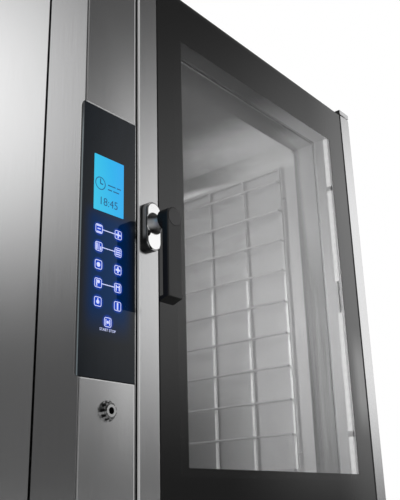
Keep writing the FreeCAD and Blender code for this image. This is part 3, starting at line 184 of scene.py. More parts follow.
class Tree:
    """Adds nodes to a shader tree or a geometry tree, their settings first."""

    def __init__(self, tree):
        self.tree = tree

    def node(self, kind, links=None, settings=None, output=0):
        made = self.tree.nodes.new(kind)
        for name, value in (settings or {}).items():
            if name == "stops":
                set_stops(made.color_ramp.elements, value)
            else:
                setattr(made, name, value)
        for name, value in (links or {}).items():
            if isinstance(value, Wire):
                self.tree.links.new(value.socket, made.inputs[name])
            else:
                made.inputs[name].default_value = value
        return Wire(self, made.outputs[output]) if len(made.outputs) else made

    def place(self):
        return self.node("ShaderNodeTexCoord", output="Object")

    def axes(self, vector):
        first = self.node("ShaderNodeSeparateXYZ", {0: vector})
        return [Wire(self, output) for output in first.socket.node.outputs]

    def xyz(self):
        return self.axes(self.place())

    def noise(self, scale, detail=3.0, roughness=0.5, turn=(0, 0, 0)):
        """Noise on Object coordinates, turned first, with one scale or one for each axis."""
        scales = scale if isinstance(scale, tuple) else (scale,) * 3
        turned = self.node("ShaderNodeMapping", {"Vector": self.place(), "Rotation": turn})
        where = self.node("ShaderNodeMapping", {"Vector": turned, "Scale": scales})
        links = {"Vector": where, "Scale": 1.0, "Detail": detail, "Roughness": roughness}
        return self.node("ShaderNodeTexNoise", links)

    def brushing(self, grain):
        """Fine lines along the axis where grain is coarse."""
        return self.noise(grain, 4.0, 0.6)

    def cells(self, scales, settings=None, output="Distance"):
        """Voronoi cells on Object coordinates, with a scale for each axis."""
        where = self.node("ShaderNodeMapping", {"Vector": self.place(), "Scale": scales})
        return self.node("ShaderNodeTexVoronoi", {"Vector": where, "Scale": 1.0}, settings, output)

    def ramp(self, factor, stops):
        return self.node("ShaderNodeValToRGB", {"Fac": factor}, {"stops": stops})

    def shades(self, factor, dark, light, blue=0.0, start=0.3, end=0.7):
        """Grey that runs from dark at start to light, with a blue tint, at end."""
        return self.ramp(factor, [(start, grey(dark)), (end, grey(light, blue))])

    def blend(self, factor, first, second):
        links = {0: factor, 6: first, 7: second}
        return self.node("ShaderNodeMix", links, {"data_type": "RGBA"}, 2)

    def bump(self, height, distance):
        return self.node("ShaderNodeBump", {"Height": height, "Distance": distance})


def set_stops(elements, stops):
    for i, (position, color) in enumerate(stops):
        stop = elements[i] if i < 2 else elements.new(position)
        stop.position, stop.color = position, color


def grey(level, blue=0.0):
    return (level, level, level + blue, 1.0)


def finish(name, paint, fixed, *values):
    """A Principled material: paint makes what varies, from values; fixed is the same all over."""
    material = bpy.data.materials.new(name)
    material.use_nodes = True
    material.node_tree.nodes.clear()
    tree = Tree(material.node_tree)
    surface = tree.node("ShaderNodeBsdfPrincipled", fixed | paint(tree, *values))
    tree.node("ShaderNodeOutputMaterial", {"Surface": surface})
    return material


def paint_brushed(t, dark, light, gloss, grain):
    """Brushed steel with fine lines and a faint cloudiness."""
    lines = t.brushing(grain)
    clouds = t.noise(2.5, 4.0, 0.6)
    return {
        "Base Color": t.shades(lines * 0.6 + clouds * 0.4, dark, light, steel_tint),
        "Roughness": gloss + lines * 0.08 + clouds * 0.06,
        "Normal": t.bump(lines, brush_depth),
    }


def lined_steel(t, lines, color, gloss):
    """Steel of a colour, with fine lines in its surface."""
    return {
        "Base Color": color,
        "Roughness": gloss + lines * 0.1,
        "Normal": t.bump(lines, brush_depth),
    }


def paint_throat(t):
    """Steel round the cavity's mouth: bright in front, painted shade inside above and to the left, and
    painted reflection streaks lower down on the right.
    """
    low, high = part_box("cavity_front_frame")
    x, y, z = t.xyz()
    lines = t.brushing(level_grain)
    # Painted reflections: streaks of light and dark lower down on the right
    painted_reflection_streaks = t.noise((1, 150, 4), 2.0) - 0.5
    # Painted light and shade: a bright front edge, the rest lit or shaded by depth, height and across
    front = y.fade(low.y + 0.004, low.y + 0.001)
    depth = y.fade(high.y - 0.001, high.y - 0.034)
    upper = z.fade(0.66, 0.95)
    level = 0.28 + upper * 0.22 + depth * (0.27 + upper * 0.61)
    right = x.fade(0.22, 0.372) * (level + painted_reflection_streaks * z.fade(0.80, 0.62) * 0.8)
    painted_shading = (front * 0.35).most(right) * 0.9 + lines * 0.1
    return lined_steel(t, lines, t.shades(painted_shading, 0.030, 0.66, steel_tint, 0.05, 0.95), 0.30)


def paint_liner(t):
    """Satin cavity steel, with painted shade low down at the back."""
    _, y, z = t.xyz()
    steel = paint_brushed(t, 0.62, 0.72, 0.36, level_grain)
    # Painted shade: darker low down at the back
    heat_tint_and_painted_shade = y.fade(-0.16, 0.10) * z.fade(0.58, 0.34)
    return steel | {"Base Color": t.blend(heat_tint_and_painted_shade, steel["Base Color"], grey(0.30))}


def paint_shaded_steel(t, left, right, dark, light, behind=0.0):
    """Satin steel with painted shade towards the left, and by a share towards the back."""
    x, y, _ = t.xyz()
    lines = t.brushing(level_grain)
    # Painted shade: darker towards the left, and by a share towards the back
    painted_shading = x.fade(left, right) * (1 - y.fade(-0.16, 0.16) * behind) * 0.9 + lines * 0.1
    return lined_steel(t, lines, t.shades(painted_shading, dark, light, steel_tint, 0.05, 0.95), 0.32)


def paint_column(t):
    """The column's side sheet, with a painted highlight on its edge behind the control glass."""
    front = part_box("column_frame")[0].y
    low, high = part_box("control_glass")
    _, y, z = t.xyz()
    lines = t.brushing(vertical_grain)
    beside = z.within(low.z, low.z + 0.003, high.z - 0.003, high.z)
    # Painted highlight on the sheet's edge beside the control glass
    edge = y.fade(front + 0.0096, front + 0.0086) * beside
    color = t.blend(edge, t.shades(lines, 0.42, 0.50, steel_tint), grey(0.58))
    return lined_steel(t, lines, color, 0.15)


def paint_plate(t):
    """The column's front plates: brushed, with painted highlights at the edges and a painted sheen
    beside the handle.
    """
    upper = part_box("column_upper_plate")[0]
    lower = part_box("column_lower_plate")[1]
    start, end = 0.0022, 0.0012
    x, _, z = t.xyz()
    sheet = paint_brushed(t, 0.57, 0.66, 0.13, vertical_grain)
    # Painted highlights along the plates' edges
    inward = lower.x - x
    beside = abs(z - upper.z).least(abs(z - lower.z))
    right = inward.fade(start * 1.6, end * 1.6)
    left = (x - upper.x).fade(start, end) * 0.45
    edge = beside.fade(start, end).most(right).most(left)
    # Painted sheen beside the handle, stronger lower down
    painted_sheen_mask = inward.fade(0.085, 0.015) * beside.fade(0.22, 0.02)
    painted_sheen_amount = painted_sheen_mask * (0.45 + z.fade(upper.z, lower.z) * 0.35)
    return sheet | {
        "Base Color": t.blend(edge.most(painted_sheen_amount), sheet["Base Color"], grey(0.92)),
        "Metallic": 1 - edge * 0.6,
    }


def paint_stile(t):
    """The door's left stile, brushed, with a painted highlight on its rounded outer edge and painted
    shade on its side.
    """
    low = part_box("door_left_stile")[0]
    x, y, _ = t.xyz()
    sheet = paint_brushed(t, 0.58, 0.67, 0.13, vertical_grain)
    # Painted highlight on the rounded front edge, painted shade on the side face in the gap
    edge = (x - low.x).fade(0.0050, 0.0030) * y.fade(low.y + 0.0030, low.y + 0.0015)
    side = x.fade(low.x + 0.0008, low.x + 0.0003) * y.fade(low.y + 0.0020, low.y + 0.0035)
    bright = t.blend(edge, sheet["Base Color"], grey(0.96))
    return sheet | {
        "Base Color": t.blend(side, bright, grey(0.03)),
        "Metallic": 1 - edge * 0.5,
    }


def paint_handle_base(t):
    """Polished rose of the handle with painted highlights and shade: bright face, darker sides, satin
    neck.
    """
    low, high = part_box("handle_base")
    middle = (low.z + high.z) / 2
    # Painted tones along the depth: highlights on the face, shade on the sides
    stops = [
        (0.0, grey(0.50)), (0.59, grey(0.50)), (0.622, grey(0.88)), (0.640, grey(0.88)),
        (0.675, grey(0.04)), (0.71, grey(0.34)), (0.86, grey(0.30)), (0.94, grey(0.02)),
    ]
    _, y, z = t.xyz()
    depth = (y - low.y) / (high.y - low.y)
    smudges = t.noise(60, 5.0, 0.65)
    neck = depth.fade(0.62, 0.59)
    side = depth.fade(0.67, 0.71)
    # Painted shade on the neck's upper and lower edges and under the rose
    painted_neck_shade = neck * abs(z - middle).fade(0.003, 0.0105)
    painted_underside_shade = side * z.fade(low.z + 0.030, low.z + 0.016)
    satin = neck.most(side)
    return {
        "Base Color": t.blend(painted_neck_shade.most(painted_underside_shade), t.ramp(depth, stops), grey(0.015)),
        "Metallic": 1 - satin * 0.5,
        "Roughness": 0.04 + satin * 0.30 + smudges.fade(0.45, 0.8) * 0.08,
    }


def paint_socket(t):
    """Probe socket, its chrome painted with reflections: bright rim round a dark hole, and a ridged grip
    with painted glints on the ridges and dark grooves.
    """
    low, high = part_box("probe_socket")
    middle_x, middle_z = (low.x + high.x) / 2, (low.z + high.z) / 2
    hole = 0.0052
    grips = 10
    reach = 0.009
    # Painted reflections along the depth: a bright rim, then a dark body
    stops = [
        (0.0, grey(0.85)), (0.22, grey(0.72)), (0.30, grey(0.05)), (0.74, grey(0.10)),
        (0.86, grey(0.30)),
    ]
    x, y, z = t.xyz()
    off_x, off_z = x - middle_x, z - middle_z
    radius = (off_x * off_x + off_z * off_z) ** 0.5
    depth = y - low.y
    smudges = t.noise(90, 4.0, 0.65)
    around = off_z.arctangent(off_x) * (grips / (2 * math.pi))
    # Painted glints on the grip's ridges
    painted_glint_ridges = around.fold(0.5).fade(0.22, 0.34) * depth.fade(0.0022, 0.0030)
    metal = t.blend(painted_glint_ridges, t.ramp(depth / reach, stops), grey(0.58))
    return {
        "Base Color": t.blend(radius.fade(hole + 0.0003, hole - 0.0002), metal, grey(0.02)),
        "Roughness": 0.10 + smudges * 0.15,
    }


def paint_bracket(t, node, door_side):
    """Hinge bracket with painted shade on its inner face and a painted shadow line where the door turns
    on it.
    """
    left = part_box(node)[0].x
    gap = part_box(node)[door_side].z
    x, _, z = t.xyz()
    lines = t.brushing(vertical_grain)
    # Painted shade on the inner face and a painted shadow line at the gap where the door turns
    painted_gap_shade = x.fade(left + 0.0008, left + 0.0003).most(abs(z - gap).fade(0.0030, 0.0022))
    color = t.blend(painted_gap_shade, t.shades(lines, 0.60, 0.70, steel_tint), grey(0.015))
    return lined_steel(t, lines, color, 0.14 + painted_gap_shade * 0.3) | {"Metallic": 1 - painted_gap_shade * 0.8}


def paint_cove(t):
    """Cavity corner, with a painted highlight where the upper curve runs into the wall, most at the
    back, and painted shade towards the back.
    """
    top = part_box("cavity_ceiling")[0].z - cove_radius
    _, y, z = t.xyz()
    lines = t.brushing(level_grain)
    back = y.fade(-0.16, 0.12)
    # Painted shade towards the back
    plain = t.blend(y.fade(-0.18, 0.06), grey(0.80), grey(0.26))
    # Painted highlight along the upper curve, most at the back
    bright = (abs(z - top - 0.002) / (0.010 + back * 0.020)).fade(1.0, 0.4) * back
    return {
        "Base Color": t.blend(bright, plain, grey(0.98)),
        "Metallic": 0.5 - bright * 0.4,
        "Roughness": 0.36 + lines * 0.1,
    }


def paint_chrome(t):
    """Polished chrome with faint smudges."""
    smudges = t.noise(60, 5.0, 0.65)
    return {
        "Base Color": t.shades(smudges, 0.80, 0.88, 0.01),
        "Roughness": 0.03 + smudges.fade(0.45, 0.8) * 0.12,
    }


def paint_wire(t):
    """Drawn wire, painted lighter above, with painted highlights on the posts lower down."""
    low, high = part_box("cavity_ceiling")
    middle = (low.x + high.x) / 2
    x, _, z = t.xyz()
    drawn = t.noise((900, 40, 900))
    # Painted highlight on the posts lower down
    painted_sheen_mask = abs(x - middle).fade(0.288, 0.294) * z.fade(0.80, 0.66)
    # Painted light above
    painted_light_above = t.blend(z.fade(0.62, 0.80), t.shades(drawn, 0.47, 0.55, 0.01), grey(0.66))
    return {
        "Base Color": t.blend(painted_sheen_mask, painted_light_above, grey(0.95)),
        "Metallic": 0.45 - painted_sheen_mask * 0.25,
        "Roughness": 0.28 + drawn * 0.12,
        "Normal": t.bump(drawn, 0.00003),
    }


def key_halo(t):
    """Light round the touch keys, and the dim haze behind them all, as values from 0 to 1."""
    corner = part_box("control_glass")[0]
    reach = 0.013
    middle = (key_columns[0] + key_columns[1]) / 2
    half = (key_columns[1] - key_columns[0]) / 2
    low_row = key_top_row - (key_rows - 1) * key_row_step
    x, _, z = t.xyz()
    across, up = x - corner.x, z - corner.z

    def glow(off_x, off_z):
        return (1 - (off_x * off_x + off_z * off_z) / (reach * reach)).most(0.0)

    keys = glow(abs(abs(across - middle) - half), abs(up - low_row).fold(key_row_step / 2))
    rows = up.within(low_row - 0.016, low_row - 0.008, key_top_row + 0.008, key_top_row + 0.016)
    start = glow(across - start_key[0], up - start_key[1])
    haze_up = up.within(
        start_key[1] - 0.035, start_key[1] + 0.03, key_top_row + 0.012, key_top_row + 0.045,
    )
    return (keys * rows).most(start), haze_up * across.within(0.0, 0.028, 0.085, 0.116)


def paint_control_glass(t):
    """Black touch glass that glows blue round its keys, with a painted highlight along its left edge."""
    low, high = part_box("control_glass")
    x, y, z = t.xyz()
    smears = t.noise((18, 18, 7), 5.0, 0.65)
    halo, haze = key_halo(t)
    # Painted highlight along the glass's left edge, fading towards the top
    side = x.fade(low.x + 0.0008, low.x + 0.0003) * y.fade(low.y + 0.0008, low.y + 0.0014)
    edge = side * z.fade(high.z, high.z - 0.06)
    black = t.ramp(smears, [(0.3, (0.007, 0.010, 0.014, 1)), (0.75, (0.012, 0.016, 0.022, 1))])
    back_lit = t.blend(haze, black, (0.011, 0.022, 0.042, 1))
    dim = t.blend(haze, grey(0.0), (0.0, 0.012, 0.058, 1))
    return {
        "Base Color": t.blend(edge, back_lit, (0.20, 0.24, 0.26, 1)),
        "Metallic": haze * 0.9,
        "Roughness": 0.05 + smears.fade(0.5, 0.8) * 0.08,
        "Emission Color": t.blend(halo ** 1.4, dim, (0.006, 0.055, 0.60, 1)),
    }


def paint_moulding(t, level, gloss, grain):
    """Moulded plastic with a fine spark-eroded grain."""
    fine = t.noise(grain, 3.0, 0.6)
    return {
        "Base Color": t.shades(t.noise(9), level * 0.85, level * 1.2, level * 0.15),
        "Roughness": gloss + fine * 0.14,
        "Normal": t.bump(fine, 0.00006),
    }


def paint_lever(t):
    """Black lever: satin grained front, duller sides and end with painted shade."""
    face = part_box("handle_lever")[0].y
    fine = t.noise(1500, 3.0, 0.6)
    # Painted shade on the sides and end
    front = t.xyz()[1].fade(face + 0.0030, face + 0.0010)
    return {
        "Base Color": t.blend(front, grey(0.0035), grey(0.021)),
        "Roughness": 0.56 - front * 0.26 + fine * 0.12,
        "Normal": t.bump(fine, 0.00006),
    }


def paint_board(t):
    """Green board with lighter tracks and tinned pads."""
    squares = {"distance": "MANHATTAN", "feature": "F1"}
    pads = t.cells((170, 1, 170), squares).fade(0.22, 0.16)
    tracks = t.noise((420, 420, 60), 2.0).fade(0.52, 0.56)
    green = t.blend(tracks, (0.010, 0.075, 0.030, 1), (0.022, 0.15, 0.055, 1))
    return {
        "Base Color": t.blend(pads, green, (0.62, 0.60, 0.52, 1)),
        "Metallic": pads * 0.9,
        "Roughness": 0.42 - pads * 0.15,
    }


def paint_rubber(t):
    """Dusty seal rubber, with painted shade to the left and painted light to the right."""
    fine = t.noise(1500, 3.0, 0.6)
    dust = t.noise(14, 4.0, 0.6)
    # Painted light and shade: dark to the left, light to the right, with some dust
    dust_and_painted_light = t.xyz()[0].fade(0.05, 0.37) * 0.8 + dust * 0.2
    return {
        "Base Color": t.shades(dust_and_painted_light, 0.035, 0.55, 0.0, 0.05, 0.95),
        "Roughness": 0.46 + dust * 0.2,
        "Normal": t.bump(fine, 0.00008),
    }


def paint_wool(t):
    """Pressed mineral wool: felted strands in straw and brown."""
    stops = [
        (0.3, (0.30, 0.22, 0.10, 1)), (0.55, (0.55, 0.45, 0.24, 1)), (0.75, (0.72, 0.63, 0.40, 1)),
    ]
    strands = t.noise((90, 420, 90), 6.0, 0.7)
    clumps = t.noise(22, 4.0)
    return {
        "Base Color": t.ramp(strands * 0.7 + clumps * 0.3, stops),
        "Roughness": 0.85 + strands * 0.1,
        "Normal": t.bump(strands, 0.0015),
    }


def paint_zinc(t):
    """Galvanised sheet with its spangle."""
    level = t.axes(t.cells((90, 90, 90), output="Color"))[0]
    return {
        "Base Color": t.ramp(level, [(0.0, grey(0.46, 0.015)), (1.0, grey(0.64, 0.02))]),
        "Roughness": 0.34 + level * 0.16,
    }


def paint_brass(t):
    """Turned brass with duller stains."""
    bright, dull = (0.80, 0.60, 0.28, 1), (0.52, 0.36, 0.15, 1)
    turned = t.noise((700, 30, 700))
    stain = t.noise(40, 4.0, 0.6)
    return {
        "Base Color": t.blend(stain.fade(0.4, 0.75), bright, dull),
        "Roughness": 0.22 + turned * 0.12 + stain * 0.1,
        "Normal": t.bump(turned, brush_depth),
    }


def paint_door_glass(t):
    """Toughened glass, clear in its window and printed dark all round it, with a painted glow and a
    painted reflection on the print towards the right.
    """
    low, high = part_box("outer_glass")
    edge = 0.0006
    x, y, z = t.xyz()
    across = (x - (low.x + window_left)).least((high.x - window_right) - x)
    up = (z - (low.z + window_bottom)).least((high.z - window_top) - z)
    front = y.fade(low.y + 0.0012, low.y + 0.0004)
    printed = across.least(up).fade(edge, -edge) * front
    smears = t.noise((4, 4, 9), 5.0, 0.65)
    # Painted reflection on the right of the printed border, and a painted glow growing towards the right
    painted_reflection_patch = x.fade(0.35, 0.39) * z.within(0.30, 0.40, 0.47, 0.57)
    pale = x.fade(0.24, 0.40) * 0.22 + painted_reflection_patch * 0.78
    print_with_painted_glow = t.shades(pale, 0.013, 0.245, 0.0, 0.0, 1.0)
    return {
        "Base Color": t.blend(printed, (0.020, 0.021, 0.022, 1), print_with_painted_glow),
        "Alpha": printed * 0.82 + 0.18 + smears * 0.02 - 0.02,
        "Roughness": 0.03 + smears.fade(0.5, 0.85) * 0.07,
    }


def paint_clear_glass(t):
    """Inner pane under a thin film left by steam and wiping, with painted light that makes it palest
    above and to the right.
    """
    low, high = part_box("inner_glass")
    x, _, z = t.xyz()
    film = t.noise((6, 6, 3), 5.0, 0.65)
    wiped = t.noise((5, 5, 34), 4.0, 0.6, (0, math.radians(24), 0))
    # Painted light: paler to the right and above, with the film's own grain
    pale = x.fade(low.x + 0.06, high.x - 0.10) * 0.65 + z.fade(0.42, 0.62) * 0.15 + film * 0.2
    marks = wiped.fade(0.46, 0.70) * x.fade(0.14, 0.02) * z.fade(0.52, 0.66)
    return {
        "Base Color": t.shades(pale, 0.30, 0.80, 0.0, 0.1, 0.9),
        "Alpha": 0.21 + film.fade(0.45, 0.8) * 0.06 + marks * 0.07,
        "Roughness": 0.04 + film * 0.05,
    }


def paint_lens(t):
    """Frosted light strip with a row of brighter points."""
    step = 0.010
    points = t.xyz()[2].fold(step) / step
    return {
        "Base Color": grey(0.30),
        "Emission Color": t.shades(points, 0.88, 1.0, 0.0, 0.0, 1.0),
        "Roughness": 0.35 + points * 0.1,
    }


def paint_cast(t):
    """Cast metal with a pebbled skin."""
    skin = t.noise(260, 4.0, 0.6)
    return {
        "Base Color": t.shades(t.noise(18), 0.36, 0.50, 0.015),
        "Roughness": 0.42 + skin * 0.16,
        "Normal": t.bump(skin, 0.0003),
    }


def paint_heater(t):
    """Heat-tinted tube: straw, brown and blue patches."""
    stops = [
        (0.3, (0.20, 0.15, 0.10, 1)), (0.5, (0.27, 0.20, 0.15, 1)), (0.7, (0.17, 0.17, 0.21, 1)),
    ]
    heat_tint_and_painted_shade = t.noise(16)
    return {"Base Color": t.ramp(heat_tint_and_painted_shade, stops), "Roughness": 0.34 + heat_tint_and_painted_shade * 0.2}


def paint_screen(t):
    """Lit display: cyan that turns bluer to the upper right."""
    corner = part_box("control_glass")[0]
    stops = [
        (0.0, (0.025, 0.56, 0.80, 1)), (0.55, (0.0, 0.44, 0.84, 1)), (1.0, (0.005, 0.37, 0.88, 1)),
    ]
    x, _, z = t.xyz()
    along = (x - (corner.x + screen_x0)) / (screen_x1 - screen_x0)
    up = (z - (corner.z + screen_z0)) / (screen_z1 - screen_z0)
    return {
        "Base Color": (0.01, 0.02, 0.03, 1),
        "Emission Color": t.ramp(along * 0.75 + up * 0.15, stops),
        "Roughness": 0.12 + along * 0.04,
    }


def paint_ink(t):
    """Dark marks of the display."""
    grain = t.noise(700, 2.0)
    return {
        "Base Color": t.ramp(grain, [(0.3, (0.004, 0.03, 0.06, 1)), (0.7, (0.008, 0.05, 0.09, 1))]),
        "Emission Color": (0.006, 0.12, 0.30, 1),
        "Roughness": 0.3 + grain * 0.1,
    }


def paint_key_light(t):
    """White-violet light of the touch keys."""
    grain = t.noise(320, 2.0)
    return {
        "Base Color": (0.05, 0.06, 0.12, 1),
        "Emission Color": t.ramp(grain, [(0.3, (0.52, 0.58, 1.0, 1)), (0.7, (0.72, 0.76, 1.0, 1))]),
        "Roughness": 0.25 + grain * 0.1,
    }


def paint_floor(t):
    """Pale plain floor."""
    return {
        "Base Color": t.shades(t.noise(1.2, 5.0, 0.6), 0.60, 0.64),
        "Roughness": 0.6 + t.noise(90) * 0.15,
    }


bare_metal = {"Metallic": 1.0}
dull_metal = {"Metallic": 0.9}
satin_metal = {"Metallic": 0.5}

# Name of each finish, what paints it, what is the same all over it, and its own values
finish_list = [
    ("brushed_steel", paint_brushed, bare_metal, 0.57, 0.66, 0.13, vertical_grain),
    ("cavity_steel", paint_brushed, satin_metal, 0.60, 0.70, 0.36, level_grain),
    # Rear hoods: the panel's steel painted darker, a painted shade that damps their glare
    ("pressed_steel", paint_brushed, bare_metal, 0.40, 0.48, 0.36, level_grain),
    ("foot_steel", paint_brushed, bare_metal, 0.50, 0.62, 0.24, turned_grain),
    # Ceiling and door frame: steel with painted shade
    ("ceiling_steel", paint_shaded_steel, satin_metal, 0.10, 0.30, 0.04, 0.90, 0.80),
    ("frame_steel", paint_shaded_steel, satin_metal, 0.04, 0.352, 0.085, 0.74),
    ("throat_steel", paint_throat, satin_metal),
    ("liner_steel", paint_liner, satin_metal),
    ("cove_steel", paint_cove, {}),
    ("column_steel", paint_column, bare_metal),
    ("plate_steel", paint_plate, {}),
    ("stile_steel", paint_stile, {}),
    ("upper_hinge_bracket_steel", paint_bracket, {}, "upper_hinge_bracket", 0),
    ("lower_hinge_bracket_steel", paint_bracket, {}, "lower_hinge_bracket", 1),
    ("handle_chrome", paint_handle_base, {}),
    ("socket_chrome", paint_socket, bare_metal),
    ("polished_chrome", paint_chrome, bare_metal),
    ("rack_wire", paint_wire, {}),
    ("zinc_plate", paint_zinc, bare_metal),
    ("valve_brass", paint_brass, bare_metal),
    ("motor_grey", paint_cast, dull_metal),
    ("heater_alloy", paint_heater, dull_metal),
    ("black_moulding", paint_moulding, {}, 0.022, 0.38, 1100),
    ("lever_black", paint_moulding, {}, 0.020, 0.24, 1500),
    # Black beads that stand in for the shade at the door glass's edges
    ("bead_black", paint_moulding, {}, 0.006, 0.72, 1100),
    ("lever_satin", paint_lever, {"Specular IOR Level": 0.40}),
    ("seal_rubber", paint_rubber, {"Specular IOR Level": 0.35}),
    ("mineral_wool", paint_wool, {}),
    ("circuit_board", paint_board, {}),
    ("control_glass", paint_control_glass, {"Emission Strength": 1.0, "Specular IOR Level": 0.28}),
    ("door_glass", paint_door_glass, {"IOR": 1.52, "Specular IOR Level": 0.38}),
    ("clear_glass", paint_clear_glass, {"IOR": 1.5}),
    ("light_lens", paint_lens, {"Emission Strength": 0.62}),
    ("display_light", paint_screen, {"Emission Strength": 0.95}),
    ("display_ink", paint_ink, {"Emission Strength": 0.6}),
    ("key_light", paint_key_light, {"Emission Strength": 1.0}),
    ("studio_floor", paint_floor, {}),
]
finishes = {row[0]: finish(*row) for row in finish_list}

# Nodes whose finish isn't the plain one of their slot
own_finishes = {
    "cavity_front_frame": "throat_steel",
    "cavity_liner": "liner_steel",
    "cavity_ceiling": "ceiling_steel",
    "column_frame": "column_steel",
    "column_upper_plate": "plate_steel",
    "column_lower_plate": "plate_steel",
    "upper_hinge_bracket": "upper_hinge_bracket_steel",
    "lower_hinge_bracket": "lower_hinge_bracket_steel",
    "door_inner_frame": "frame_steel",
    "door_left_stile": "stile_steel",
    "handle_base": "handle_chrome",
    "handle_lever": "lever_satin",
    "probe_socket": "socket_chrome",
}


def dress(mesh, name):
    mesh.materials.clear()
    mesh.materials.append(finishes[name])


def dress_cad_nodes():
    """Give each CAD node its own finish, or else the finish of its slot."""
    for part in frame["record"]["subparts"]:
        node = part["node"]
        dress(frame["nodes"][node].data, own_finishes.get(node, part["material_slot"]))


def linked(name, data):
    made = bpy.data.objects.new(name, data)
    scene.collection.objects.link(made)
    return made


def add_camera():
    data = bpy.data.cameras.new("camera")
    data.lens = camera_lens
    data.sensor_width = camera_sensor
    forward = Vector((
        math.sin(camera_yaw) * math.cos(camera_pitch),
        math.cos(camera_yaw) * math.cos(camera_pitch),
        math.sin(camera_pitch),
    ))
    right = Vector((math.cos(camera_yaw), -math.sin(camera_yaw), 0))
    up = right.cross(forward)
    side = math.cos(camera_roll) * right + math.sin(camera_roll) * up
    top = math.cos(camera_roll) * up - math.sin(camera_roll) * right
    turn = Matrix((side, top, -forward)).transposed().to_4x4()
    scene.camera = linked("camera", data)
    scene.camera.matrix_world = Matrix.Translation(camera_place) @ turn


def add_world():
    """White to the camera and through glass; metal sees a dim room with softly lit parts."""
    world = bpy.data.worlds.new("studio")
    scene.world = world
    world.use_nodes = True
    world.node_tree.nodes.clear()
    tree = Tree(world.node_tree)
    x, y, z = tree.axes(tree.node("ShaderNodeTexCoord", output="Generated"))
    turn = x.arctangent(0 - y) * math.degrees(1)
    rise = z.arcsine() * math.degrees(1)
    front_left = turn.within(38.5, 45.5, 52, 60) * rise.within(1, 17, 19, 38)
    front_right = turn.within(52, 60, 68, 82) * rise.within(-3, 9, 21, 38)
    behind_left = turn.fade(-124, -150) * rise.within(11, 29, 31, 48)
    behind_right = turn.fade(88, 106) * rise.within(-6, 6, 48, 66)
    above = rise.fade(52, 68)
    left = turn.fade(-80, -110)
    room = 0.10 + left * 0.035 + front_left * 0.98 + front_right * 1.2
    room = room + behind_left * 1.45 + behind_right * 0.9 + above * 0.6
    camera_ray = tree.node("ShaderNodeLightPath", output="Is Camera Ray")
    seen = camera_ray.most(tree.node("ShaderNodeLightPath", output="Is Transmission Ray"))
    glossy = tree.node("ShaderNodeLightPath", output="Is Glossy Ray")
    plain = 0.55
    level = seen + (1 - seen) * (glossy * room + (1 - glossy) * plain)
    light = tree.node("ShaderNodeBackground", {"Color": (1, 1, 1, 1), "Strength": level})
    tree.node("ShaderNodeOutputWorld", {"Surface": light})


def add_lamp(name, place, aim, size, power, spread=180):
    data = bpy.data.lights.new(name, "AREA")
    data.shape = "RECTANGLE"
    data.size, data.size_y = size
    data.energy = power
    data.spread = math.radians(spread)
    lamp = linked(name, data)
    lamp.location = place
    lamp.rotation_euler = (Vector(aim) - Vector(place)).to_track_quat("-Z", "Y").to_euler()
    lamp.visible_camera = False
    lamp.visible_glossy = False


def add_floor():
    half = 6.0
    mesh = bpy.data.meshes.new("studio_floor")
    corners = [(-half, -half, 0), (half, -half, 0), (half, half, 0), (-half, half, 0)]
    mesh.from_pydata(corners, [], [(0, 1, 2, 3)])
    dress(mesh, "studio_floor")
    linked("studio_floor", mesh)


def mesh_from(bm):
    """The finished mesh of a bmesh, with its faces turned outwards."""
    bmesh.ops.remove_doubles(bm, verts=bm.verts, dist=1e-7)
    bmesh.ops.recalc_face_normals(bm, faces=bm.faces)
    mesh = bpy.data.meshes.new("made")
    bm.to_mesh(mesh)
    bm.free()
    return mesh


def as_mesh(maker):
    """The evaluated mesh of an object, which is then removed."""
    graph = bpy.context.evaluated_depsgraph_get()
    mesh = bpy.data.meshes.new_from_object(maker.evaluated_get(graph))
    bpy.data.objects.remove(maker)
    return mesh


def rounded(mesh, angle=35):
    """Smooth shading with sharp edges kept."""
    mesh.shade_smooth()
    mesh.set_sharp_from_angle(angle=math.radians(angle))


def settle(name, mesh, body, finish_name, replaced=()):
    """Make a mesh a piece, with its finish and its body."""
    made = linked(name, mesh)
    mesh.name = name
    dress(mesh, finish_name)
    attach(made, body)
    if replaced:
        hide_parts(*replaced)


def band(bm, first, second):
    """Faces between two closed loops of as many points."""
    for i in range(len(first)):
        j = (i + 1) % len(first)
        bm.faces.new((first[i], first[j], second[j], second[i]))


def plate(bm, outline, front, back):
    """A plate whose outline is given in x and z."""
    near = [bm.verts.new((x, front, z)) for x, z in outline]
    far = [bm.verts.new((x, back, z)) for x, z in outline]
    bm.faces.new(near)
    bm.faces.new(far[::-1])
    band(bm, far, near)


def bar(bm, x0, z0, x1, z1, front, back):
    plate(bm, [(x0, z0), (x1, z0), (x1, z1), (x0, z1)], front, back)


def circle(x, z, radius, sides=24):
    turns = [2 * math.pi * i / sides for i in range(sides)]
    return [(x + radius * math.cos(a), z + radius * math.sin(a)) for a in turns]


def round_rectangle(x0, z0, x1, z1, radius, steps=5):
    left, right, low, high = x0 + radius, x1 - radius, z0 + radius, z1 - radius
    outline = []
    for x, z, start in ((right, low, -90), (right, high, 0), (left, high, 90), (left, low, 180)):
        for i in range(steps + 1):
            a = math.radians(start + 90 * i / steps)
            outline.append((x + radius * math.cos(a), z + radius * math.sin(a)))
    return outline


def ring(bm, outer, inner, front, back):
    """A flat ring between two outlines of as many points."""
    edges = ((outer, front), (inner, front), (inner, back), (outer, back))
    loops = [[bm.verts.new((x, y, z)) for x, z in line] for line, y in edges]
    for i, loop in enumerate(loops):
        band(bm, loop, loops[(i + 1) % len(loops)])


def start_tree(name, inputs):
    """A new geometry tree with named inputs, and a wire from each of them."""
    group = bpy.data.node_groups.new(name, "GeometryNodeTree")
    for label, kind in inputs.items():
        group.interface.new_socket(label, in_out="INPUT", socket_type="NodeSocket" + kind)
    group.interface.new_socket("Result", in_out="OUTPUT", socket_type="NodeSocketGeometry")
    tree = Tree(group)
    return tree, [tree.node("NodeGroupInput", output=label) for label in inputs]


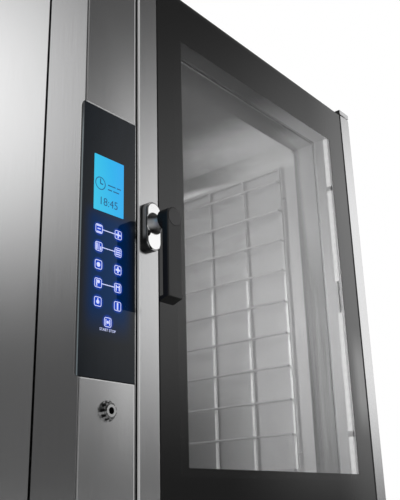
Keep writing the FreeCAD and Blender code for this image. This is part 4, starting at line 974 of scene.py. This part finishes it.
def end_tree(tree, shape, material):
    """End a geometry tree in real geometry that has its finish."""
    solid = tree.node("GeometryNodeRealizeInstances", {"Geometry": shape})
    dressed = tree.node("GeometryNodeSetMaterial", {"Geometry": solid, "Material": material})
    tree.node("NodeGroupOutput", {"Result": dressed})
    return tree.tree


def copy_tree():
    """Geometry tree: a template stands at every point, turned by the point's own angles."""
    inputs = {"Places": "Geometry", "Template": "Object", "Finish": "Material"}
    tree, (places, template, material) = start_tree("copies_at_points", inputs)
    shape = tree.node("GeometryNodeObjectInfo", {"Object": template}, output="Geometry")
    turn = tree.node("GeometryNodeInputNamedAttribute", {"Name": "turn"}, {"data_type": "FLOAT_VECTOR"})
    spin = tree.node("FunctionNodeEulerToRotation", {"Euler": turn})
    links = {"Points": places, "Instance": shape, "Rotation": spin}
    return end_tree(tree, tree.node("GeometryNodeInstanceOnPoints", links), material)


def sweep_tree():
    """Geometry tree: a section runs along a path whose corners are rounded."""
    inputs = {"Path": "Geometry", "Section": "Object", "Corner": "Float", "Finish": "Material"}
    tree, (path, section, corner, material) = start_tree("section_along_path", inputs)
    line = tree.node("GeometryNodeMeshToCurve", {"Mesh": path})
    links = {"Curve": line, "Radius": corner, "Limit Radius": True, "Count": 8}
    soft = tree.node("GeometryNodeFilletCurve", links, {"mode": "POLY"})
    outline = tree.node("GeometryNodeObjectInfo", {"Object": section}, output="Geometry")
    profile = tree.node("GeometryNodeMeshToCurve", {"Mesh": outline})
    links = {"Curve": soft, "Profile Curve": profile, "Fill Caps": True}
    return end_tree(tree, tree.node("GeometryNodeCurveToMesh", links), material)


copies_at_points = copy_tree()
section_along_path = sweep_tree()


def grown(mesh, group, inputs):
    """What a geometry tree makes of a mesh, with inputs set by their sockets' identifiers."""
    maker = linked("maker", mesh)
    modifier = maker.modifiers.new("tree", "NODES")
    modifier.node_group = group
    for item in group.interface.items_tree:
        if item.in_out == "INPUT" and item.name in inputs:
            modifier[item.identifier] = inputs[item.name]
    return as_mesh(maker)


def copies(name, template, places, body, finish_name, turns=(), replaced=()):
    """One piece made of copies of a template mesh."""
    pattern = linked("template", template)
    points = bpy.data.meshes.new("places")
    points.from_pydata(places, [], [])
    angles = points.attributes.new("turn", "FLOAT_VECTOR", "POINT")
    for i, turn in enumerate(turns):
        angles.data[i].vector = turn
    inputs = {"Template": pattern, "Finish": finishes[finish_name]}
    mesh = grown(points, copies_at_points, inputs)
    bpy.data.objects.remove(pattern)
    rounded(mesh)
    settle(name, mesh, body, finish_name, replaced)


def loop_mesh(points):
    """A closed line through points."""
    mesh = bpy.data.meshes.new("loop")
    mesh.from_pydata(points, [(i, (i + 1) % len(points)) for i in range(len(points))], [])
    return mesh


def sweep(name, path, section, corner, body, finish_name, replaced=()):
    """One piece with a closed section swept along a closed path."""
    pattern = linked("section", loop_mesh([(x, y, 0) for x, y in section]))
    inputs = {"Section": pattern, "Corner": corner, "Finish": finishes[finish_name]}
    bm = bmesh.new()
    bm.from_mesh(grown(loop_mesh(path), section_along_path, inputs))
    bpy.data.objects.remove(pattern)
    mesh = mesh_from(bm)
    rounded(mesh, 40)
    settle(name, mesh, body, finish_name, replaced)


def text_mesh(words, size):
    """Upright text facing the front, centred across, as a mesh at the origin."""
    curve = bpy.data.curves.new("text", "FONT")
    curve.body = words
    curve.size = size
    curve.extrude = letter_depth / 2
    curve.align_x = "CENTER"
    mesh = as_mesh(linked("text", curve))
    mesh.transform(Matrix.Rotation(math.radians(90), 4, "X"))
    return mesh


def add_display():
    """Lit display with a clock sign, lines and digits, placed by shares of its width and height."""
    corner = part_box("control_glass")[0]
    x0, x1 = corner.x + screen_x0, corner.x + screen_x1
    z0, z1 = corner.z + screen_z0, corner.z + screen_z1
    wide, high = x1 - x0, z1 - z0
    bm = bmesh.new()
    outline = round_rectangle(x0, z0, x1, z1, screen_corner)
    plate(bm, outline, corner.y - 0.0001, corner.y + 0.0002)
    settle("display_screen", mesh_from(bm), "cabinet", "display_light")

    front, back = corner.y - 0.00018, corner.y + 0.0001
    clock_hands = [(0.195, 0.485, 0.225, 0.575), (0.21, 0.475, 0.30, 0.497)]
    lines = [
        (0.46, 0.50, 0.72, 0.52), (0.76, 0.50, 0.90, 0.52),
        (0.46, 0.42, 0.60, 0.44), (0.64, 0.42, 0.84, 0.44),
    ]
    bm = bmesh.new()
    for a, b, c, d in clock_hands + lines:
        bar(bm, x0 + a * wide, z0 + b * high, x0 + c * wide, z0 + d * high, front, back)
    dial_x, dial_z, dial_radius = x0 + 0.21 * wide, z0 + 0.49 * high, 0.17 * wide
    rim = [circle(dial_x, dial_z, radius) for radius in (dial_radius, dial_radius * 0.86)]
    ring(bm, rim[0], rim[1], front, back)
    settle("display_marks", mesh_from(bm), "cabinet", "display_ink")

    digits = text_mesh("18:45", digit_size)
    digits.transform(Matrix.Translation((x0 + 0.49 * wide, corner.y - 0.00012, z0 + 0.12 * high)))
    settle("display_digits", digits, "cabinet", "display_ink")


def key_places():
    """Centres of the touch keys on the control glass, row by row, then the start key."""
    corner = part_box("control_glass")[0]
    spots = [(x, key_top_row - row * key_row_step) for row in range(key_rows) for x in key_columns]
    spots.append(start_key)
    return [(corner.x + x, corner.y, corner.z + z) for x, z in spots]


def add_key_frames():
    """Rounded-square outlines of the touch keys."""
    outer = key_size / 2
    inner = outer - key_line
    lift = 0.00015
    bm = bmesh.new()
    ring(
        bm, round_rectangle(-outer, -outer, outer, outer, key_corner),
        round_rectangle(-inner, -inner, inner, inner, key_corner - key_line), -lift, lift,
    )
    copies("touch_key_frames", mesh_from(bm), key_places(), "cabinet", "key_light")


def add_key_marks():
    """Plain signs inside the keys, and the lines that join some of them."""
    front, back = -0.00012, 0.0001
    unit = key_size / 2
    # A bar has its two corners, a disc its middle and radius, in half key sizes
    signs = [
        [(-0.7, 0.55, 0.7, 0.8), (-0.7, -0.8, 0.7, -0.55), (-0.45, -0.12, 0.45, 0.12)],
        [(-0.18, -0.72, 0.18, 0.72), (-0.72, -0.18, 0.72, 0.18)],
        [(-0.7, -0.7, -0.35, 0.7), (-0.05, -0.7, 0.15, 0.7), (0.4, -0.7, 0.7, 0.1)],
        [(-0.7, 0.35, 0.7, 0.6), (-0.7, -0.12, 0.7, 0.12), (-0.7, -0.6, 0.7, -0.35)],
        [(0.0, 0.0, 0.5)],
        [(-0.2, -0.65, 0.2, 0.65), (-0.65, -0.2, 0.65, 0.2), (0.0, 0.0, 0.3)],
        [(-0.5, -0.7, -0.25, 0.7), (0.1, 0.3, 0.38)],
        [(-0.6, -0.65, -0.3, 0.65), (0.3, -0.65, 0.6, 0.65), (-0.3, 0.1, 0.3, 0.35)],
        [(0.0, -0.05, 0.42), (-0.12, 0.2, 0.12, 0.7)],
        [(-0.2, -0.75, 0.2, 0.75)],
        [(0.0, 0.0, 0.32), (-0.62, -0.62, -0.42, 0.62), (0.42, -0.62, 0.62, 0.62)],
    ]
    bm = bmesh.new()
    places = key_places()
    for (x, y, z), shapes in zip(places, signs):
        for shape in shapes:
            a, b, *rest = [value * unit for value in shape]
            if len(rest) == 2:
                bar(bm, x + a, z + b, x + rest[0], z + rest[1], y + front, y + back)
            else:
                plate(bm, circle(x + a, z + b, rest[0]), y + front, y + back)
    for row in joined_rows:
        (x0, y, z), (x1, _, _) = places[2 * row], places[2 * row + 1]
        bar(bm, x0 + unit, z - join_half, x1 - unit, z + join_half, y + front, y + back)
    settle("touch_key_marks", mesh_from(bm), "cabinet", "key_light")


def add_start_words():
    """Plain words under the start key."""
    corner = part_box("control_glass")[0]
    words = text_mesh("START STOP", word_size)
    place = (corner.x + start_key[0], corner.y - 0.00008, corner.z + start_key[1] - word_drop)
    words.transform(Matrix.Translation(place))
    settle("start_words", words, "cabinet", "key_light")


def add_cavity_coves():
    """Rounded long corners between the cavity's walls, ceiling and floor."""
    low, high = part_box("cavity_liner")
    sheet = cavity_sheet
    front, back = low.y + 2 * sheet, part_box("cavity_ceiling")[1].y
    steps = 10
    bm = bmesh.new()
    for x, inward in ((low.x + sheet, 1), (high.x - sheet, -1)):
        for z, up in ((low.z + sheet, 1), (high.z - sheet, -1)):
            outline = [(x, z)]
            for i in range(steps + 1):
                a = math.pi / 2 * i / steps
                across = cove_radius * (1 - math.cos(a))
                along = cove_radius * (1 - math.sin(a))
                outline.append((x + inward * across, z + up * along))
            plate(bm, outline, front, back)
    coves = mesh_from(bm)
    rounded(coves, 30)
    settle("cavity_coves", coves, "cabinet", "cove_steel")


def fitting(bm, proud, low, high, half_depth, radius):
    """A rounded block on a light bar, from low to high, standing proud of the bar."""
    plate(bm, round_rectangle(-proud, low, fitting_thickness, high, radius), -half_depth, half_depth)


def add_light_bar_fittings():
    """Straps over the light bars, and a slim link between each upper and lower bar."""
    low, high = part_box("light_bars")
    y, middle = (low.y + high.y) / 2, (low.z + high.z) / 2
    sides = [(high.x - fitting_thickness, 0), (low.x + fitting_thickness, math.pi)]

    strap = bmesh.new()
    fitting(strap, strap_proud, -strap_half_height, strap_half_height, strap_half_depth, 0.0010)
    fitting(strap, rib_proud, -rib_half_height, rib_half_height, strap_half_depth, 0.0005)
    link = bmesh.new()
    fitting(link, 0.0, -link_half_height, link_half_height, link_half_depth, 0.0008)
    for z in lug_heights:
        fitting(link, lug_proud, z - lug_half_height, z + lug_half_height, lug_half_depth, 0.0008)

    for name, bm, heights in (("straps", strap, strap_heights), ("links", link, (middle,))):
        places = [(x, y, z) for x, _ in sides for z in heights]
        turns = [(0, 0, turn) for _, turn in sides for _ in heights]
        copies("light_bar_" + name, mesh_from(bm), places, "door", "cavity_steel", turns)


def add_glass_beads():
    """Black beads where the door glass meets the stiles, standing in for the shade of the gap there."""
    low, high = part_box("outer_glass")
    front = low.y - bead_proud
    bm = bmesh.new()
    for x0, x1 in ((low.x, low.x + bead_left), (high.x - bead_right, high.x)):
        outline = [(x0, low.y), (x0 + bead_round, front), (x1 - bead_round, front), (x1, low.y)]
        ends = []
        for z in (low.z + bead_end, high.z - bead_end):
            ends.append([bm.verts.new((x, y, z)) for x, y in outline])
            bm.faces.new(ends[-1])
        band(bm, *ends)
    settle("glass_edge_beads", mesh_from(bm), "door", "bead_black")


def add_door_seal():
    """Bulb seal round the door opening, in the place of the plain solid."""
    low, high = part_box("door_seal")
    middle = (low.y + high.y) / 2
    half = (high.y - low.y) / 2 - bulb_clearance
    inset = seal_width / 2
    left, right = low.x + inset, high.x - inset
    bottom, top = low.z + inset, high.z - inset
    path = [(left, middle, bottom), (right, middle, bottom), (right, middle, top), (left, middle, top)]
    section = []
    for i in range(bulb_sides):
        a = 2 * math.pi * i / bulb_sides
        bulge = 1.0 - bulb_dent * math.cos(2 * a) ** 8
        section.append((bulb_half_width * bulge * math.cos(a), half * math.sin(a)))
    sweep(
        "door_seal_bulb", path, section, seal_corner, "cabinet", "seal_rubber",
        ("door_seal",),
    )


def screw_mesh(radius, height, recess):
    """Domed screw head along +Y with a cross recess."""
    rings = [(1.0, 0.0), (1.0, 0.35), (0.92, 0.62), (0.72, 0.85), (0.45, 0.97)]
    arm, thin = 0.42 * radius, 0.11 * radius
    taper = 0.8
    cross = []
    for c, s in ((1, 0), (0, 1), (-1, 0), (0, -1)):
        cross += [(c * x - s * z, s * x + c * z) for x, z in ((arm, -thin), (arm, thin), (thin, thin))]
    corners = len(cross)
    bm = bmesh.new()
    loops = []
    for scale, lift in rings:
        loops.append([bm.verts.new((x, height * lift, z)) for x, z in circle(0, 0, radius * scale)])
    for first, second in zip(loops, loops[1:]):
        band(bm, first, second)
    bm.faces.new(loops[0][::-1])
    flat = height * rings[-1][1]
    rim = [bm.verts.new((x, flat, z)) for x, z in cross]
    floor = [bm.verts.new((x * taper, flat - recess, z * taper)) for x, z in cross]
    bm.faces.new(floor)
    band(bm, rim, floor)

    def nearest(turn):
        """Number of the cross's corner nearest to the screw's edge in a direction."""
        x, z = radius * math.cos(turn), radius * math.sin(turn)
        return min(range(corners), key=lambda k: (cross[k][0] - x) ** 2 + (cross[k][1] - z) ** 2)

    top = loops[-1]
    sides = len(top)
    for i in range(sides):
        j = (i + 1) % sides
        here = nearest(2 * math.pi * (i + 0.5) / sides)
        after = nearest(2 * math.pi * (i + 1.5) / sides)
        bm.faces.new((top[i], top[j], rim[here]))
        for k in range((after - here) % corners):
            bm.faces.new((top[j], rim[(here + k + 1) % corners], rim[(here + k) % corners]))
    return mesh_from(bm)


def add_rear_screws():
    """Cross-recessed heads in the place of the plain screws, each turned differently."""
    low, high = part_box("rear_panel_screws")
    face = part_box("rear_panel")[1].y
    places = []
    for x in (low.x + screw_radius, high.x - screw_radius):
        for i in range(screw_rows):
            z = low.z + screw_radius + (high.z - low.z - 2 * screw_radius) * i / (screw_rows - 1)
            places.append((x, face, z))
    turns = [(0, screw_turn * i, 0) for i in range(len(places))]
    screw = screw_mesh(screw_radius, high.y - face, screw_recess)
    copies(
        "rear_screw_heads", screw, places, "cabinet", "foot_steel", turns,
        ("rear_panel_screws",),
    )


def hood_mesh(length, rise, proud, sheet):
    """Pressed louvre hood along X, open below, on a panel that faces +Y."""
    across, down = 16, 6
    bm = bmesh.new()
    skins = []
    for inset in (0.0, sheet):
        skin = []
        for i in range(across + 1):
            along = 2 * i / across - 1
            swell = proud * (1 - abs(along) ** 6)
            lifts = [max(swell * math.sin(math.pi / 2 * k / down) - inset, 0.0) for k in range(down + 1)]
            x = along * length / 2
            skin.append([bm.verts.new((x, lift, rise * (1 - k / down))) for k, lift in enumerate(lifts)])
        skins.append(skin)
    outer, inner = skins
    for i in range(across):
        for k in range(down):
            bm.faces.new((outer[i][k], outer[i + 1][k], outer[i + 1][k + 1], outer[i][k + 1]))
            bm.faces.new((inner[i][k], inner[i][k + 1], inner[i + 1][k + 1], inner[i + 1][k]))
        bm.faces.new((outer[i][down], outer[i + 1][down], inner[i + 1][down], inner[i][down]))
    return mesh_from(bm)


def add_rear_louvres():
    """A pressed hood over each slot of the rear panel."""
    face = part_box("rear_panel")[1].y
    heights = [start + i * slot_step for start in slot_starts for i in range(slot_count)]
    places = [(slot_middle, face, z - hood_drop) for z in heights]
    hood = hood_mesh(slot_length + hood_past_slot, hood_rise, hood_proud, hood_sheet)
    copies("rear_louvre_hoods", hood, places, "cabinet", "pressed_steel")


dress_cad_nodes()
add_camera()
add_world()
add_floor()
add_lamp("softbox_left", (-2.2, -2.4, 2.6), (0, 0, 0.6), (2.0, 2.0), 30)
add_lamp("softbox_right", (2.6, -2.2, 1.8), (0, 0, 0.6), (2.0, 2.0), 20)
add_lamp("upper_bar_light", (-0.19, -0.17, 0.82), (0.379, -0.14, 0.92), (0.24, 0.40), 3.9)
add_lamp("lower_bar_light", (-0.19, -0.20, 0.46), (0.379, -0.25, 0.44), (0.20, 0.44), 0.95, 95)
add_display()
add_key_frames()
add_key_marks()
add_start_words()
add_cavity_coves()
add_light_bar_fittings()
add_glass_beads()
add_door_seal()
add_rear_screws()
add_rear_louvres()

scene.view_settings.view_transform = "Standard"
bpy.context.view_layer.update()
